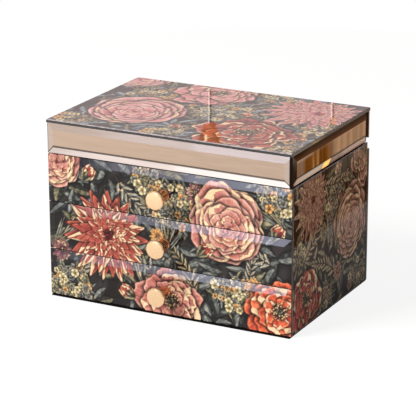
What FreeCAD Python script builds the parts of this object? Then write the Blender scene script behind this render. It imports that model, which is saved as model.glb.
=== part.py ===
import FreeCAD, Part
import math
import os
from types import SimpleNamespace

import Sketcher

# Mirrored glass jewellery box: a three-drawer case clad in bevelled glass under a hinged lid.
# Frame: the front faces -Y, +X is to the right, +Z is up, and the origin is the middle of the base.
# Lengths are millimetres and angles are degrees.

SIZES = [
    ("case_width", 240, "outside width, over the side glass"),
    ("case_depth", 166, "outside depth, over the front and back glass"),
    ("body_height", 134.2, "top edge of the body, under the lid"),
    ("lid_gap", 0.8, "seam between the body and the lid"),
    ("strip_height", 28, "height of the bronze glass strips round the lid"),
    ("glass_thick", 4, "front, side and back glass and the lid strips"),
    ("top_glass_thick", 3, "glass plate on the lid"),
    ("top_arris", 0.8, "ground edge of the lid plate"),
    ("bevel_wide", 6.6, "width of the bevels"),
    ("bevel_deep", 1.8, "fall of the bevels"),
    ("base_thick", 1.2, "felt sheet under the box"),
    ("base_inset", 0.8, "felt sheet set back from the glass"),
    ("bottom_thick", 6, "bottom board"),
    ("board_thick", 8, "side walls, back wall and tray rail"),
    ("dado_deep", 2, "housing grooves in the side walls"),
    ("shelf_thick", 4, "shelves and tray floor"),
    ("seat_gap", 0.3, "behind the closed drawer glass"),
    ("front_gap", 0.7, "between one drawer glass and the next"),
    ("back_glass_drop", 6.4, "back glass set below the body top, for the hinges"),
    ("back_strip_raise", 3.5, "back strip set above the lid's lower edge, for the hinges"),
    ("lid_board_thick", 5, "board under the lid plate"),
    ("pad_radius", 3, "soft pads that the closed lid comes down on"),
    ("pad_clear", 0.1, "between the pads and the lid"),
    ("pad_inset", 8, "pads in from the side walls"),
    ("neck_clear", 1.5, "between the tray neck and the lid rails"),
    ("neck_thick", 3, "neck boards round the tray"),
    ("neck_rise", 12, "neck above the body top"),
    ("tray_sink", 10, "tray floor below the body top"),
    ("lining_thick", 1, "velvet lining sheets"),
    ("lining_clear", 0.3, "round the edges of the linings"),
    ("divider_thick", 3, "tray dividers"),
    ("divider_high", 18, "tray dividers above the tray floor"),
    ("roll_bay_wide", 68, "ring roll bay, from the left neck to the divider"),
    ("roll_gap", 0.4, "between two ring rolls"),
    ("roll_high", 19, "ring rolls above the lining"),
    ("mirror_thick", 2, "mirror inside the lid"),
    ("mirror_clear", 0.5, "round the mirror"),
    ("mirror_bevel", 5, "width of the mirror's bevel"),
    ("mirror_fall", 0.6, "fall of the mirror's bevel"),
    ("front_board_thick", 8, "board behind the drawer glass"),
    ("drawer_side_thick", 5, "drawer sides and back"),
    ("drawer_bottom_thick", 3, "drawer bottom panel"),
    ("groove_deep", 2, "groove for the drawer bottom"),
    ("groove_lift", 3, "drawer bottom above the lower edge of the sides"),
    ("slide_clear", 0.6, "each side of a drawer"),
    ("run_gap", 0.2, "under a drawer"),
    ("head_clear", 1.0, "over a drawer"),
    ("drawer_back_clear", 4, "behind a closed drawer"),
    ("knob_reach", 19.5, "knob face in front of the glass"),
    ("knob_left", 1.3, "knobs set left of the middle of the box"),
    ("knob_lift", 0.5, "knobs set above the middle of their glass"),
    ("knob_head_radius", 8.8, "knob head"),
    ("knob_head_long", 3.2, "knob head along its axis"),
    ("knob_rim", 1.1, "chamfer round the knob face"),
    ("knob_stem_radius", 4.4, "stem of the knob"),
    ("knob_foot_radius", 5.2, "foot of the knob against the glass"),
    ("knob_foot_long", 1.6, "foot of the knob along its axis"),
    ("knob_tap_deep", 9, "threaded hole in the knob"),
    ("knob_screw_radius", 2, "knob screw shank"),
    ("knob_screw_bite", 8, "knob screw inside the knob"),
    ("knob_screw_clear", 0.3, "round the knob screw in glass and board"),
    ("knob_tap_clear", 0.05, "round the knob screw in its thread"),
    ("knob_screw_head_radius", 3.8, "knob screw head"),
    ("knob_screw_head_long", 2.4, "knob screw head along its axis"),
    ("hinge_spread", 75, "middle of each hinge from the middle of the box"),
    ("hinge_long", 30, "length of each hinge"),
    ("knuckle_long", 9.6, "length of the middle knuckle"),
    ("knuckle_gap", 0.2, "between one knuckle and the next"),
    ("barrel_radius", 2.5, "hinge knuckles"),
    ("barrel_clear", 0.3, "round the knuckles"),
    ("pin_radius", 1, "hinge pin"),
    ("pin_clear", 0.05, "round the hinge pin"),
    ("pin_proud", 0.4, "hinge pin beyond the knuckles at each end"),
    ("axis_out", 1.5, "hinge axis behind the back wall"),
    ("leaf_thick", 1.2, "hinge leaves"),
    ("leaf_deep", 5.2, "hinge leaves let into the boards"),
    ("mortise_clear", 0.1, "round the leaves in their mortises"),
    ("lid_open", 95, "angle at which the lid meets its stops"),
    ("stop_flange", 1, "bent-down flange that carries the stop"),
    ("stop_low", 4.4, "lower edge of the stop below the hinge axis"),
    ("stop_clear", 0.05, "left at the stops when the lid is fully open"),
    ("tail_reach", 3.9, "stop tail from the hinge axis"),
    ("leaf_screw_spread", 10, "leaf screws from the middle of the hinge"),
    ("leaf_screw_radius", 1, "leaf screw shank"),
    ("leaf_screw_head_radius", 1.6, "countersunk head of a leaf screw"),
    ("leaf_screw_long", 6, "leaf screw from head to point"),
]

DRAWERS = ("lower", "middle", "upper")
RING_ROLLS = 8
HANDS = (("left", -1), ("right", 1))


# A length that carries both its number and the sheet expression that drives it.
class Length:

    def __init__(self, text, value):
        self.text = text
        self.value = value

    def __add__(self, other):
        other = as_length(other)
        return Length(f"({self.text} + {other.text})", self.value + other.value)

    def __sub__(self, other):
        other = as_length(other)
        return Length(f"({self.text} - {other.text})", self.value - other.value)

    def __mul__(self, other):
        other = as_length(other)
        return Length(f"({self.text} * {other.text})", self.value * other.value)

    def __truediv__(self, other):
        other = as_length(other)
        return Length(f"({self.text} / {other.text})", self.value / other.value)

    def __neg__(self):
        return Length(f"(0 - {self.text})", -self.value)

    def __rsub__(self, other):
        return as_length(other) - self

    __radd__ = __add__
    __rmul__ = __mul__


def as_length(number):
    if isinstance(number, Length):
        return number
    return Length(f"({number})", float(number))


def number_of(length):
    return length.value


def span(one, other):
    return sorted((one, other), key=number_of)


def sine(angle):
    return Length(f"sin({angle.text})", math.sin(math.radians(angle.value)))


def cotangent(angle):
    return Length(f"(1 / tan({angle.text}))", 1 / math.tan(math.radians(angle.value)))


ZERO = as_length(0)

os.makedirs("parts", exist_ok=True)
doc = FreeCAD.newDocument("jewellery_box")
sheet = doc.addObject("Spreadsheet::Sheet", "Sizes")
for row, (alias, value, note) in enumerate(SIZES, start=1):
    sheet.set(f"A{row}", note)
    sheet.set(f"B{row}", str(value))
    sheet.setAlias(f"B{row}", alias)
doc.recompute()
size = SimpleNamespace(**{alias: Length(f"Sizes.{alias}", value) for alias, value, note in SIZES})
nodes = []


def bind(thing, path, length):
    thing.setExpression(path, as_length(length).text)


def node(thing, label):
    thing.Label = label
    nodes.append(thing)
    return thing


# Plain boards and cutting tools

def box(name, x, y, z):
    solid = doc.addObject("Part::Box", name)
    for side, path, (low, high) in zip(("Length", "Width", "Height"), "xyz", (x, y, z)):
        bind(solid, side, high - low)
        bind(solid, f"Placement.Base.{path}", low)
    return solid


def cut(name, base, tools):
    result = doc.addObject("Part::Cut", name)
    result.Base = base
    if len(tools) == 1:
        result.Tool = tools[0]
        return result
    joined = doc.addObject("Part::MultiFuse", f"{name}_tools")
    joined.Shapes = tools
    result.Tool = joined
    return result


def group(name, members):
    result = doc.addObject("Part::Compound", name)
    result.Links = members
    return result


# Sketched bodies

def new_body(name):
    return doc.addObject("PartDesign::Body", name)


def new_sketch(body, role, offset):
    sketch = body.newObject("Sketcher::SketchObject", f"{body.Name}_sketch")
    planes = [plane for plane in body.Origin.OriginFeatures if plane.Role == role]
    sketch.AttachmentSupport = [(planes[0], "")]
    sketch.MapMode = "FlatFace"
    bind(sketch, "AttachmentOffset.Base.z", offset)
    return sketch


def pin_point(sketch, index, end, point):
    for kind, length in zip(("DistanceX", "DistanceY"), point):
        length = as_length(length)
        number = sketch.addConstraint(Sketcher.Constraint(kind, -1, 1, index, end, length.value))
        sketch.setExpression(f"Constraints[{number}]", length.text)


def draw_polygon(sketch, points):
    first = sketch.GeometryCount
    places = [FreeCAD.Vector(as_length(u).value, as_length(v).value, 0) for u, v in points]
    for here, after in zip(places, places[1:] + places[:1]):
        sketch.addGeometry(Part.LineSegment(here, after), False)
    for number, point in enumerate(points):
        following = first + (number + 1) % len(points)
        sketch.addConstraint(Sketcher.Constraint("Coincident", first + number, 2, following, 1))
        pin_point(sketch, first + number, 1, point)


def draw_rectangle(sketch, across, up):
    corners = [(across[0], up[0]), (across[1], up[0]), (across[1], up[1]), (across[0], up[1])]
    draw_polygon(sketch, corners)


def draw_circle(sketch, centre, radius):
    place = FreeCAD.Vector(as_length(centre[0]).value, as_length(centre[1]).value, 0)
    index = sketch.addGeometry(Part.Circle(place, FreeCAD.Vector(0, 0, 1), radius.value), False)
    pin_point(sketch, index, 3, centre)
    number = sketch.addConstraint(Sketcher.Constraint("Radius", index, radius.value))
    sketch.setExpression(f"Constraints[{number}]", radius.text)


def feature(body, kind, sketch, name):
    result = body.newObject(kind, f"{body.Name}_{name}")
    result.Profile = sketch
    body.Tip = result
    return result


def pad(body, sketch, length, name):
    result = feature(body, "PartDesign::Pad", sketch, name)
    bind(result, "Length", length)
    return result


def pocket_both_ways(body, sketch, name):
    result = feature(body, "PartDesign::Pocket", sketch, name)
    result.Type = "ThroughAll"
    result.Midplane = True
    return result


def revolve(body, sketch, name):
    result = feature(body, "PartDesign::Revolution", sketch, name)
    result.ReferenceAxis = (sketch, ["V_Axis"])
    result.Angle = 360
    return result


# Bevelled plates: a flat land, then a loft in to the raised face, so that the bevels meet in mitres.
# role is the body's own plane, and back, land and face are distances along that plane's normal.
def bevelled_plate(name, role, across, up, back, land, face, bevel):
    body = new_body(name)
    base = new_sketch(body, role, back)
    draw_rectangle(base, across, up)
    pad(body, base, land - back, "land")
    outer = new_sketch(body, role, land)
    draw_rectangle(outer, across, up)
    inner = new_sketch(body, role, face)
    draw_rectangle(inner, (across[0] + bevel, across[1] - bevel), (up[0] + bevel, up[1] - bevel))
    loft = feature(body, "PartDesign::AdditiveLoft", outer, "bevel")
    loft.Sections = [inner]
    loft.Ruled = True
    return body


# Faces and levels that the pieces share

side_face = size.case_width / 2
back_face = size.case_depth / 2
front_face = -back_face
drawer_seat = front_face + size.glass_thick
case_front = drawer_seat + size.seat_gap
wall_out = side_face - size.glass_thick
wall_in = wall_out - size.board_thick
back_out = back_face - size.glass_thick
back_in = back_out - size.board_thick
rail_in = case_front + size.board_thick

bottom_top = size.base_thick + size.bottom_thick
drawer_pitch = size.body_height / len(DRAWERS)
tray_floor_top = size.body_height - size.tray_sink
tray_floor_low = tray_floor_top - size.shelf_thick
lining_top = tray_floor_top + size.lining_thick
neck_top = size.body_height + size.neck_rise
lid_low = size.body_height + size.lid_gap
plate_low = lid_low + size.strip_height
lid_top = plate_low + size.top_glass_thick
lid_board_low = plate_low - size.lid_board_thick
lid_rail_thick = size.board_thick - size.neck_clear
hinge_axis_y = back_out + size.axis_out
hinge_axis_z = size.body_height + size.lid_gap / 2


# Case of boards

def shelf_middle(number):
    return drawer_pitch * number + size.front_gap / 2


def shelf_levels(number):
    middle = shelf_middle(number)
    return middle - size.shelf_thick / 2, middle + size.shelf_thick / 2


def side_wall(label, x_out, x_in, x_dado):
    blank = box(f"{label}_blank", span(x_out, x_in), (case_front, back_out), (bottom_top, size.body_height))
    housings = [
        (case_front, shelf_levels(1)),
        (case_front, shelf_levels(2)),
        (rail_in, (tray_floor_low, tray_floor_top)),
    ]
    tools = [box(f"{label}_dado_{number}", span(x_in, x_dado), (front, back_in), levels)
             for number, (front, levels) in enumerate(housings)]
    return node(cut(label, blank, tools), label)


node(box("base_felt", (size.base_inset - side_face, side_face - size.base_inset),
         (front_face + size.base_inset, back_face - size.base_inset), (ZERO, size.base_thick)),
     "base_felt")
node(box("bottom_board", (-wall_out, wall_out), (case_front, back_out), (size.base_thick, bottom_top)),
     "bottom_board")
side_wall("left_wall", -wall_out, -wall_in, -wall_in - size.dado_deep)
side_wall("right_wall", wall_out, wall_in, wall_in + size.dado_deep)
for number, label in ((1, "lower_shelf"), (2, "upper_shelf")):
    node(box(label, (-wall_in - size.dado_deep, wall_in + size.dado_deep), (case_front, back_in),
             shelf_levels(number)), label)
node(box("tray_floor", (-wall_in - size.dado_deep, wall_in + size.dado_deep), (rail_in, back_in),
         (tray_floor_low, tray_floor_top)), "tray_floor")
node(box("tray_front_rail", (-wall_in, wall_in), (case_front, rail_in), (tray_floor_low, size.body_height)),
     "tray_front_rail")


def lid_pad(hand, sign):
    pad_disc = doc.addObject("Part::Cylinder", f"pad_{hand}")
    bind(pad_disc, "Radius", size.pad_radius)
    bind(pad_disc, "Height", size.lid_gap - size.pad_clear)
    bind(pad_disc, "Placement.Base.x", sign * (wall_in - size.pad_inset))
    bind(pad_disc, "Placement.Base.y", (case_front + rail_in) / 2)
    bind(pad_disc, "Placement.Base.z", size.body_height)
    return pad_disc


node(group("lid_pads", [lid_pad(hand, sign) for hand, sign in HANDS]), "lid_pads")


# Printed glass on the sides and the back of the body

def side_plate(label, sign, y, z):
    # The YZ plane's normal is +X, so a left-hand plate is lofted the other way.
    levels = [sign * level for level in (wall_out, side_face - size.bevel_deep, side_face)]
    return node(bevelled_plate(label, "YZ_Plane", y, z, *levels, size.bevel_wide), label)


def front_plate(label, z):
    # The XZ plane's normal is -Y.
    levels = (-drawer_seat, -front_face - size.bevel_deep, -front_face)
    return bevelled_plate(label, "XZ_Plane", (-side_face, side_face), z, *levels, size.bevel_wide)


def back_plate(label, z):
    levels = (-back_out, size.bevel_deep - back_face, -back_face)
    return node(bevelled_plate(label, "XZ_Plane", (-side_face, side_face), z, *levels, size.bevel_wide),
                label)


panel_levels = (size.base_thick, size.body_height)
side_plate("left_glass", -1, (case_front, back_out), panel_levels)
side_plate("right_glass", 1, (case_front, back_out), panel_levels)
back_plate("back_glass", (size.base_thick, size.body_height - size.back_glass_drop))


# Tray: neck boards, dividers, linings and ring rolls

tray_left = size.neck_thick - wall_in
tray_right = -tray_left
tray_front = rail_in + size.neck_thick
tray_back = back_in - size.neck_thick
divider_left = tray_left + size.roll_bay_wide
divider_right = divider_left + size.divider_thick
divider_levels = (tray_floor_top, tray_floor_top + size.divider_high)
cross_low = (tray_front + tray_back) / 2 - size.divider_thick / 2
cross_high = cross_low + size.divider_thick

neck_levels = (tray_floor_top, neck_top)
node(group("neck_frame", [
    box("neck_front", (-wall_in, wall_in), (rail_in, tray_front), neck_levels),
    box("neck_back", (-wall_in, wall_in), (tray_back, back_in), neck_levels),
    box("neck_left", (-wall_in, tray_left), (tray_front, tray_back), neck_levels),
    box("neck_right", (tray_right, wall_in), (tray_front, tray_back), neck_levels),
]), "neck_frame")
node(group("tray_dividers", [
    box("divider_long", (divider_left, divider_right), (tray_front, tray_back), divider_levels),
    box("divider_cross", (divider_right, tray_right), (cross_low, cross_high), divider_levels),
]), "tray_dividers")


def lining(name, x, y, low):
    clear = size.lining_clear
    return box(name, (x[0] + clear, x[1] - clear), (y[0] + clear, y[1] - clear),
               (low, low + size.lining_thick))


node(group("tray_lining", [
    lining("lining_rolls", (tray_left, divider_left), (tray_front, tray_back), tray_floor_top),
    lining("lining_front", (divider_right, tray_right), (tray_front, cross_low), tray_floor_top),
    lining("lining_back", (divider_right, tray_right), (cross_high, tray_back), tray_floor_top),
]), "tray_lining")


def ring_roll(number):
    # One roll is a bar with a half-round top, lying left to right.
    pitch = (tray_back - tray_front) / RING_ROLLS
    radius = (pitch - size.roll_gap) / 2
    middle = tray_front + pitch * (number + 0.5)
    shoulder = lining_top + size.roll_high - radius
    body = new_body(f"ring_roll_{number + 1}")
    foot = new_sketch(body, "YZ_Plane", tray_left + size.lining_clear)
    draw_rectangle(foot, (middle - radius, middle + radius), (lining_top, shoulder))
    pad(body, foot, size.roll_bay_wide - size.lining_clear * 2, "foot")
    crown = new_sketch(body, "YZ_Plane", tray_left + size.lining_clear)
    draw_circle(crown, (middle, shoulder), radius)
    pad(body, crown, size.roll_bay_wide - size.lining_clear * 2, "crown")
    return body


node(group("ring_rolls", [ring_roll(number) for number in range(RING_ROLLS)]), "ring_rolls")


# Drawers

def drawer(number, label):
    opening_low = bottom_top if number == 0 else shelf_levels(number)[1]
    opening_high = tray_floor_low if number == 2 else shelf_levels(number + 1)[0]
    glass_low = drawer_pitch * number + size.front_gap
    if number == 0:
        glass_low = size.base_thick + size.front_gap
    glass_high = drawer_pitch * (number + 1)
    low = opening_low + size.run_gap
    high = opening_high - size.head_clear
    knob_z = (glass_low + glass_high) / 2 + size.knob_lift
    board_back = drawer_seat + size.front_board_thick
    outer = wall_in - size.slide_clear
    inner = outer - size.drawer_side_thick
    back = back_in - size.drawer_back_clear
    panel = (low + size.groove_lift, low + size.groove_lift + size.drawer_bottom_thick)
    groove_x = inner + size.groove_deep
    groove_front = board_back - size.groove_deep

    glass = front_plate(f"{label}_drawer_glass", (glass_low, glass_high))
    drill = new_sketch(glass, "XZ_Plane", ZERO)
    draw_circle(drill, (-size.knob_left, knob_z), size.knob_screw_radius + size.knob_screw_clear)
    pocket_both_ways(glass, drill, "drill")
    node(glass, f"{label}_drawer_glass")

    front = new_body(f"{label}_board_blank")
    outline = new_sketch(front, "XZ_Plane", -board_back)
    draw_rectangle(outline, (-outer, outer), (low, high))
    pad(front, outline, size.front_board_thick, "board")
    drill = new_sketch(front, "XZ_Plane", ZERO)
    draw_circle(drill, (-size.knob_left, knob_z), size.knob_screw_radius + size.knob_screw_clear)
    pocket_both_ways(front, drill, "drill")
    groove = box(f"{label}_front_groove", (-groove_x, groove_x), (groove_front, board_back), panel)
    node(cut(f"{label}_front_board", front, [groove]), f"{label}_drawer_front_board")

    for hand, sign in (("left", -1), ("right", 1)):
        faces = span(sign * outer, sign * inner)
        channel = span(sign * groove_x, sign * inner)
        name = f"{label}_drawer_{hand}_side"
        blank = box(f"{name}_blank", faces, (board_back, back), (low, high))
        tool = box(f"{name}_groove", channel, (board_back, back), panel)
        node(cut(name, blank, [tool]), name)

    node(box(f"{label}_back_board", (-inner, inner), (back - size.drawer_side_thick, back),
             (panel[1], high)), f"{label}_drawer_back")
    node(box(f"{label}_bottom", (-groove_x, groove_x), (groove_front, back), panel),
         f"{label}_drawer_bottom")
    node(lining(f"{label}_lining", (-inner, inner), (board_back, back - size.drawer_side_thick),
                panel[1]), f"{label}_drawer_lining")
    node(knob(label, knob_z), f"{label}_knob")
    node(knob_screw(label, knob_z, board_back), f"{label}_knob_screw")


def turned_at_knob(name, level, outline):
    # Turned about the sketch's vertical axis, which runs front to back through the knob.
    body = new_body(name)
    half = new_sketch(body, "XY_Plane", ZERO)
    draw_polygon(half, outline)
    revolve(body, half, "turning")
    bind(body, "Placement.Base.x", -size.knob_left)
    bind(body, "Placement.Base.z", level)
    return body


def knob(label, level):
    face = front_face - size.knob_reach
    head_back = face + size.knob_head_long
    foot_front = front_face - size.knob_foot_long
    tap = size.knob_screw_radius + size.knob_tap_clear
    return turned_at_knob(f"{label}_knob_body", level, [
        (ZERO, face),
        (size.knob_head_radius - size.knob_rim, face),
        (size.knob_head_radius, face + size.knob_rim),
        (size.knob_head_radius, head_back),
        (size.knob_stem_radius, head_back),
        (size.knob_stem_radius, foot_front),
        (size.knob_foot_radius, foot_front),
        (size.knob_foot_radius, front_face),
        (tap, front_face),
        (tap, front_face - size.knob_tap_deep),
        (ZERO, front_face - size.knob_tap_deep),
    ])


def knob_screw(label, level, board_back):
    head_end = board_back + size.knob_screw_head_long
    return turned_at_knob(f"{label}_screw_body", level, [
        (ZERO, front_face - size.knob_screw_bite),
        (size.knob_screw_radius, front_face - size.knob_screw_bite),
        (size.knob_screw_radius, board_back),
        (size.knob_screw_head_radius, board_back),
        (size.knob_screw_head_radius, head_end),
        (ZERO, head_end),
    ])


for number, label in enumerate(DRAWERS):
    drawer(number, label)


# Lid: rails and board inside, bronze mirror strips round the edge, printed plate on top

lid_inner_x = wall_out - lid_rail_thick
lid_front_in = drawer_seat + lid_rail_thick
lid_back_in = back_out - lid_rail_thick
rail_levels = (lid_low, lid_board_low)
strip_levels = (lid_low, plate_low)

node(box("lid_board", (-wall_out, wall_out), (drawer_seat, back_out), (lid_board_low, plate_low)),
     "lid_board")
node(box("lid_rail_front", (-wall_out, wall_out), (drawer_seat, lid_front_in), rail_levels),
     "lid_rail_front")
node(box("lid_rail_left", (-wall_out, -lid_inner_x), (lid_front_in, lid_back_in), rail_levels),
     "lid_rail_left")
node(box("lid_rail_right", (lid_inner_x, wall_out), (lid_front_in, lid_back_in), rail_levels),
     "lid_rail_right")
node(front_plate("lid_strip_front", strip_levels), "lid_strip_front")
back_plate("lid_strip_back", (lid_low + size.back_strip_raise, plate_low))
side_plate("lid_strip_left", -1, (drawer_seat, back_out), strip_levels)
side_plate("lid_strip_right", 1, (drawer_seat, back_out), strip_levels)
node(bevelled_plate("lid_glass", "XY_Plane", (-side_face, side_face), (front_face, back_face),
                    plate_low, lid_top - size.top_arris, lid_top, size.top_arris), "lid_glass")
node(bevelled_plate("lid_mirror", "XY_Plane",
                    (size.mirror_clear - lid_inner_x, lid_inner_x - size.mirror_clear),
                    (lid_front_in + size.mirror_clear, lid_back_in - size.mirror_clear),
                    lid_board_low, lid_board_low - size.mirror_thick + size.mirror_fall,
                    lid_board_low - size.mirror_thick, size.mirror_bevel), "lid_mirror")


# Stop hinges: each leaf is drawn about its own pin axis and then placed at the left or the right.

leaf_edge = -size.axis_out - size.leaf_deep
barrel_room = size.barrel_radius + size.barrel_clear
leaf_near = size.lid_gap / 2
leaf_far = leaf_near + size.leaf_thick
stop_top = -barrel_room - size.pin_clear * 2
pin_bore = size.pin_radius + size.pin_clear
screw_row = (leaf_edge - barrel_room) / 2


def stop_face(level):
    # Where the tail's leading face comes to lie, at this level, when the lid is fully open.
    return leaf_near / sine(size.lid_open) + level * -cotangent(size.lid_open) - size.stop_clear


def place_at_hinge(thing, sign):
    bind(thing, "Placement.Base.x", sign * size.hinge_spread)
    bind(thing, "Placement.Base.y", hinge_axis_y)
    bind(thing, "Placement.Base.z", hinge_axis_z)
    return thing


def bar(body, across, levels, ends, name):
    sketch = new_sketch(body, "YZ_Plane", ends[0])
    draw_rectangle(sketch, across, levels)
    return pad(body, sketch, ends[1] - ends[0], name)


def knuckle(body, ends, name):
    sketch = new_sketch(body, "YZ_Plane", ends[0])
    draw_circle(sketch, (ZERO, ZERO), size.barrel_radius)
    return pad(body, sketch, ends[1] - ends[0], name)


def bore(body):
    sketch = new_sketch(body, "YZ_Plane", ZERO)
    draw_circle(sketch, (ZERO, ZERO), pin_bore)
    return pocket_both_ways(body, sketch, "bore")


def fixed_leaf(hand):
    body = new_body(f"fixed_leaf_{hand}")
    ends = (-size.hinge_long / 2, size.hinge_long / 2)
    levels = (-leaf_far, -leaf_near)
    bar(body, (leaf_edge, -barrel_room), levels, ends, "plate")
    outer = (size.knuckle_long / 2 + size.knuckle_gap, size.hinge_long / 2)
    web = bar(body, (-barrel_room, ZERO), levels, outer, "web")
    barrel = knuckle(body, outer, "knuckle")
    pair = body.newObject("PartDesign::Mirrored", f"{body.Name}_pair")
    pair.Originals = [web, barrel]
    pair.MirrorPlane = ([plane for plane in body.Origin.OriginFeatures if plane.Role == "YZ_Plane"][0], [""])
    body.Tip = pair
    middle = (-size.knuckle_long / 2, size.knuckle_long / 2)
    flange_back = -barrel_room - size.stop_flange
    stop = new_sketch(body, "YZ_Plane", middle[0])
    draw_polygon(stop, [
        (flange_back, -leaf_near),
        (-barrel_room, -leaf_near),
        (-barrel_room, stop_top),
        (stop_face(stop_top), stop_top),
        (stop_face(-size.stop_low), -size.stop_low),
        (flange_back, -size.stop_low),
    ])
    pad(body, stop, middle[1] - middle[0], "stop")
    bore(body)
    return body


def moving_leaf(hand):
    body = new_body(f"moving_leaf_{hand}")
    ends = (-size.hinge_long / 2, size.hinge_long / 2)
    levels = (leaf_near, leaf_far)
    middle = (-size.knuckle_long / 2, size.knuckle_long / 2)
    bar(body, (leaf_edge, -barrel_room), levels, ends, "plate")
    bar(body, (-barrel_room, size.tail_reach), levels, middle, "tail")
    knuckle(body, middle, "knuckle")
    bore(body)
    return body


def leaf_screw(name, sign, side, up):
    # up is 1 for a screw driven up into the lid rail and -1 for one driven down into the wall.
    body = new_body(name)
    half = new_sketch(body, "XZ_Plane", ZERO)
    draw_polygon(half, [
        (ZERO, ZERO),
        (size.leaf_screw_head_radius, ZERO),
        (size.leaf_screw_radius, up * size.leaf_thick),
        (size.leaf_screw_radius, up * size.leaf_screw_long),
        (ZERO, up * size.leaf_screw_long),
    ])
    revolve(body, half, "turning")
    bind(body, "Placement.Base.x", sign * size.hinge_spread + side * size.leaf_screw_spread)
    bind(body, "Placement.Base.y", hinge_axis_y + screw_row)
    bind(body, "Placement.Base.z", hinge_axis_z + up * leaf_near)
    return body


def hinge_pin(hand, sign):
    pin = doc.addObject("Part::Cylinder", f"pin_{hand}")
    bind(pin, "Radius", size.pin_radius)
    bind(pin, "Height", size.hinge_long + size.pin_proud * 2)
    pin.Placement.Rotation = FreeCAD.Rotation(FreeCAD.Vector(0, 1, 0), 90)
    bind(pin, "Placement.Base.x", sign * size.hinge_spread - size.hinge_long / 2 - size.pin_proud)
    bind(pin, "Placement.Base.y", hinge_axis_y)
    bind(pin, "Placement.Base.z", hinge_axis_z)
    return pin


case_screws = group("case_screws", [
    leaf_screw(f"case_screw_{hand}_{side}", sign, side, -1) for hand, sign in HANDS for side in (-1, 1)])
lid_screws = group("lid_screws", [
    leaf_screw(f"lid_screw_{hand}_{side}", sign, side, 1) for hand, sign in HANDS for side in (-1, 1)])
fixed_leaves = group("fixed_leaves", [place_at_hinge(fixed_leaf(hand), sign) for hand, sign in HANDS])
moving_leaves = group("moving_leaves", [place_at_hinge(moving_leaf(hand), sign) for hand, sign in HANDS])
node(cut("hinge_fixed_leaves", fixed_leaves, [case_screws]), "hinge_fixed_leaves")
node(cut("hinge_moving_leaves", moving_leaves, [lid_screws]), "hinge_moving_leaves")
node(group("hinge_pins", [hinge_pin(hand, sign) for hand, sign in HANDS]), "hinge_pins")
node(case_screws, "hinge_screws_case")
node(lid_screws, "hinge_screws_lid")


# Mortises for the hinges, in the back wall and in the back rail of the lid

def mortise(name, sign, half_long, depth, levels):
    middle = sign * size.hinge_spread
    half = half_long + size.mortise_clear
    return box(name, (middle - half, middle + half), (back_out - depth, back_out), levels)


def wall_mortises(hand, sign):
    top = size.body_height
    room = barrel_room - size.axis_out + size.mortise_clear
    return [
        mortise(f"leaf_seat_{hand}", sign, size.hinge_long / 2, size.leaf_deep + size.mortise_clear,
                (hinge_axis_z - leaf_far, top)),
        mortise(f"barrel_seat_{hand}", sign, size.hinge_long / 2, room, (hinge_axis_z - barrel_room, top)),
        mortise(f"stop_seat_{hand}", sign, size.knuckle_long / 2, room + size.stop_flange,
                (hinge_axis_z - size.stop_low - size.mortise_clear, top)),
    ]


def rail_mortises(hand, sign):
    room = barrel_room - size.axis_out + size.mortise_clear
    return [
        mortise(f"lid_leaf_seat_{hand}", sign, size.hinge_long / 2, size.leaf_deep + size.mortise_clear,
                (lid_low, hinge_axis_z + leaf_far)),
        mortise(f"lid_barrel_seat_{hand}", sign, size.hinge_long / 2, room,
                (lid_low, hinge_axis_z + barrel_room)),
    ]


wall_blank = box("back_wall_blank", (-wall_in, wall_in), (back_in, back_out), (bottom_top, size.body_height))
wall_tools = [tool for hand, sign in HANDS for tool in wall_mortises(hand, sign)]
node(cut("back_wall", wall_blank, wall_tools + [case_screws]), "back_wall")
rail_blank = box("lid_rail_back_blank", (-wall_out, wall_out), (lid_back_in, back_out), rail_levels)
rail_tools = [tool for hand, sign in HANDS for tool in rail_mortises(hand, sign)]
node(cut("lid_rail_back", rail_blank, rail_tools + [lid_screws]), "lid_rail_back")


# Every object must have come out whole before anything is written.

doc.recompute()
for thing in doc.Objects:
    if "Invalid" in thing.State or "Error" in thing.State:
        raise RuntimeError(f"{thing.Label} failed: {thing.State}")
for thing in nodes:
    if thing.Shape.isNull() or not thing.Shape.isValid():
        raise RuntimeError(f"{thing.Label} has no valid shape")
    if not thing.Shape.Solids:
        raise RuntimeError(f"{thing.Label} has no solid")
for thing in nodes:
    thing.Shape.exportStep(f"parts/{thing.Label}.step")
print(len(nodes), "nodes written")
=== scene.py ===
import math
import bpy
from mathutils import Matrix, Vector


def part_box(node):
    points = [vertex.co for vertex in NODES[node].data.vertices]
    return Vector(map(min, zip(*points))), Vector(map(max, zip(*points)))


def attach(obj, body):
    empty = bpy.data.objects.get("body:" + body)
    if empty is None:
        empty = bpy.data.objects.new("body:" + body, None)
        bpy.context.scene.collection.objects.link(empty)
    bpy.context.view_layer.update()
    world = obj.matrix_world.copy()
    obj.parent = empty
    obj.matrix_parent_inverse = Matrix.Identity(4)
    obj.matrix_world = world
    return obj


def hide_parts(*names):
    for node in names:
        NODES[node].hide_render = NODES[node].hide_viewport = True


bl_info = {
    "name": "Glass jewellery box",
    "version": (1, 0, 0),
    "blender": (4, 5, 0),
    "location": "View3D > Sidebar > Jewellery box",
    "description": "Dresses a jewellery box in printed glass, bronze mirror, velvet and metal, and lights it",
    "category": "Object",
}

import bmesh
import bpy
import numpy as np
from mathutils import Matrix, Vector

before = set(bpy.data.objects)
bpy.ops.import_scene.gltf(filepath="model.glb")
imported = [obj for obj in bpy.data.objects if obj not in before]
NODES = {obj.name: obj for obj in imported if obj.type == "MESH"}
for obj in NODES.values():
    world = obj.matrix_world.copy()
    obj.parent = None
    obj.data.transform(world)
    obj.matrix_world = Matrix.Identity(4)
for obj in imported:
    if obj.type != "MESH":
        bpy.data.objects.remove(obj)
DRAWERS = ("lower", "middle", "upper")
MM = 0.001

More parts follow.
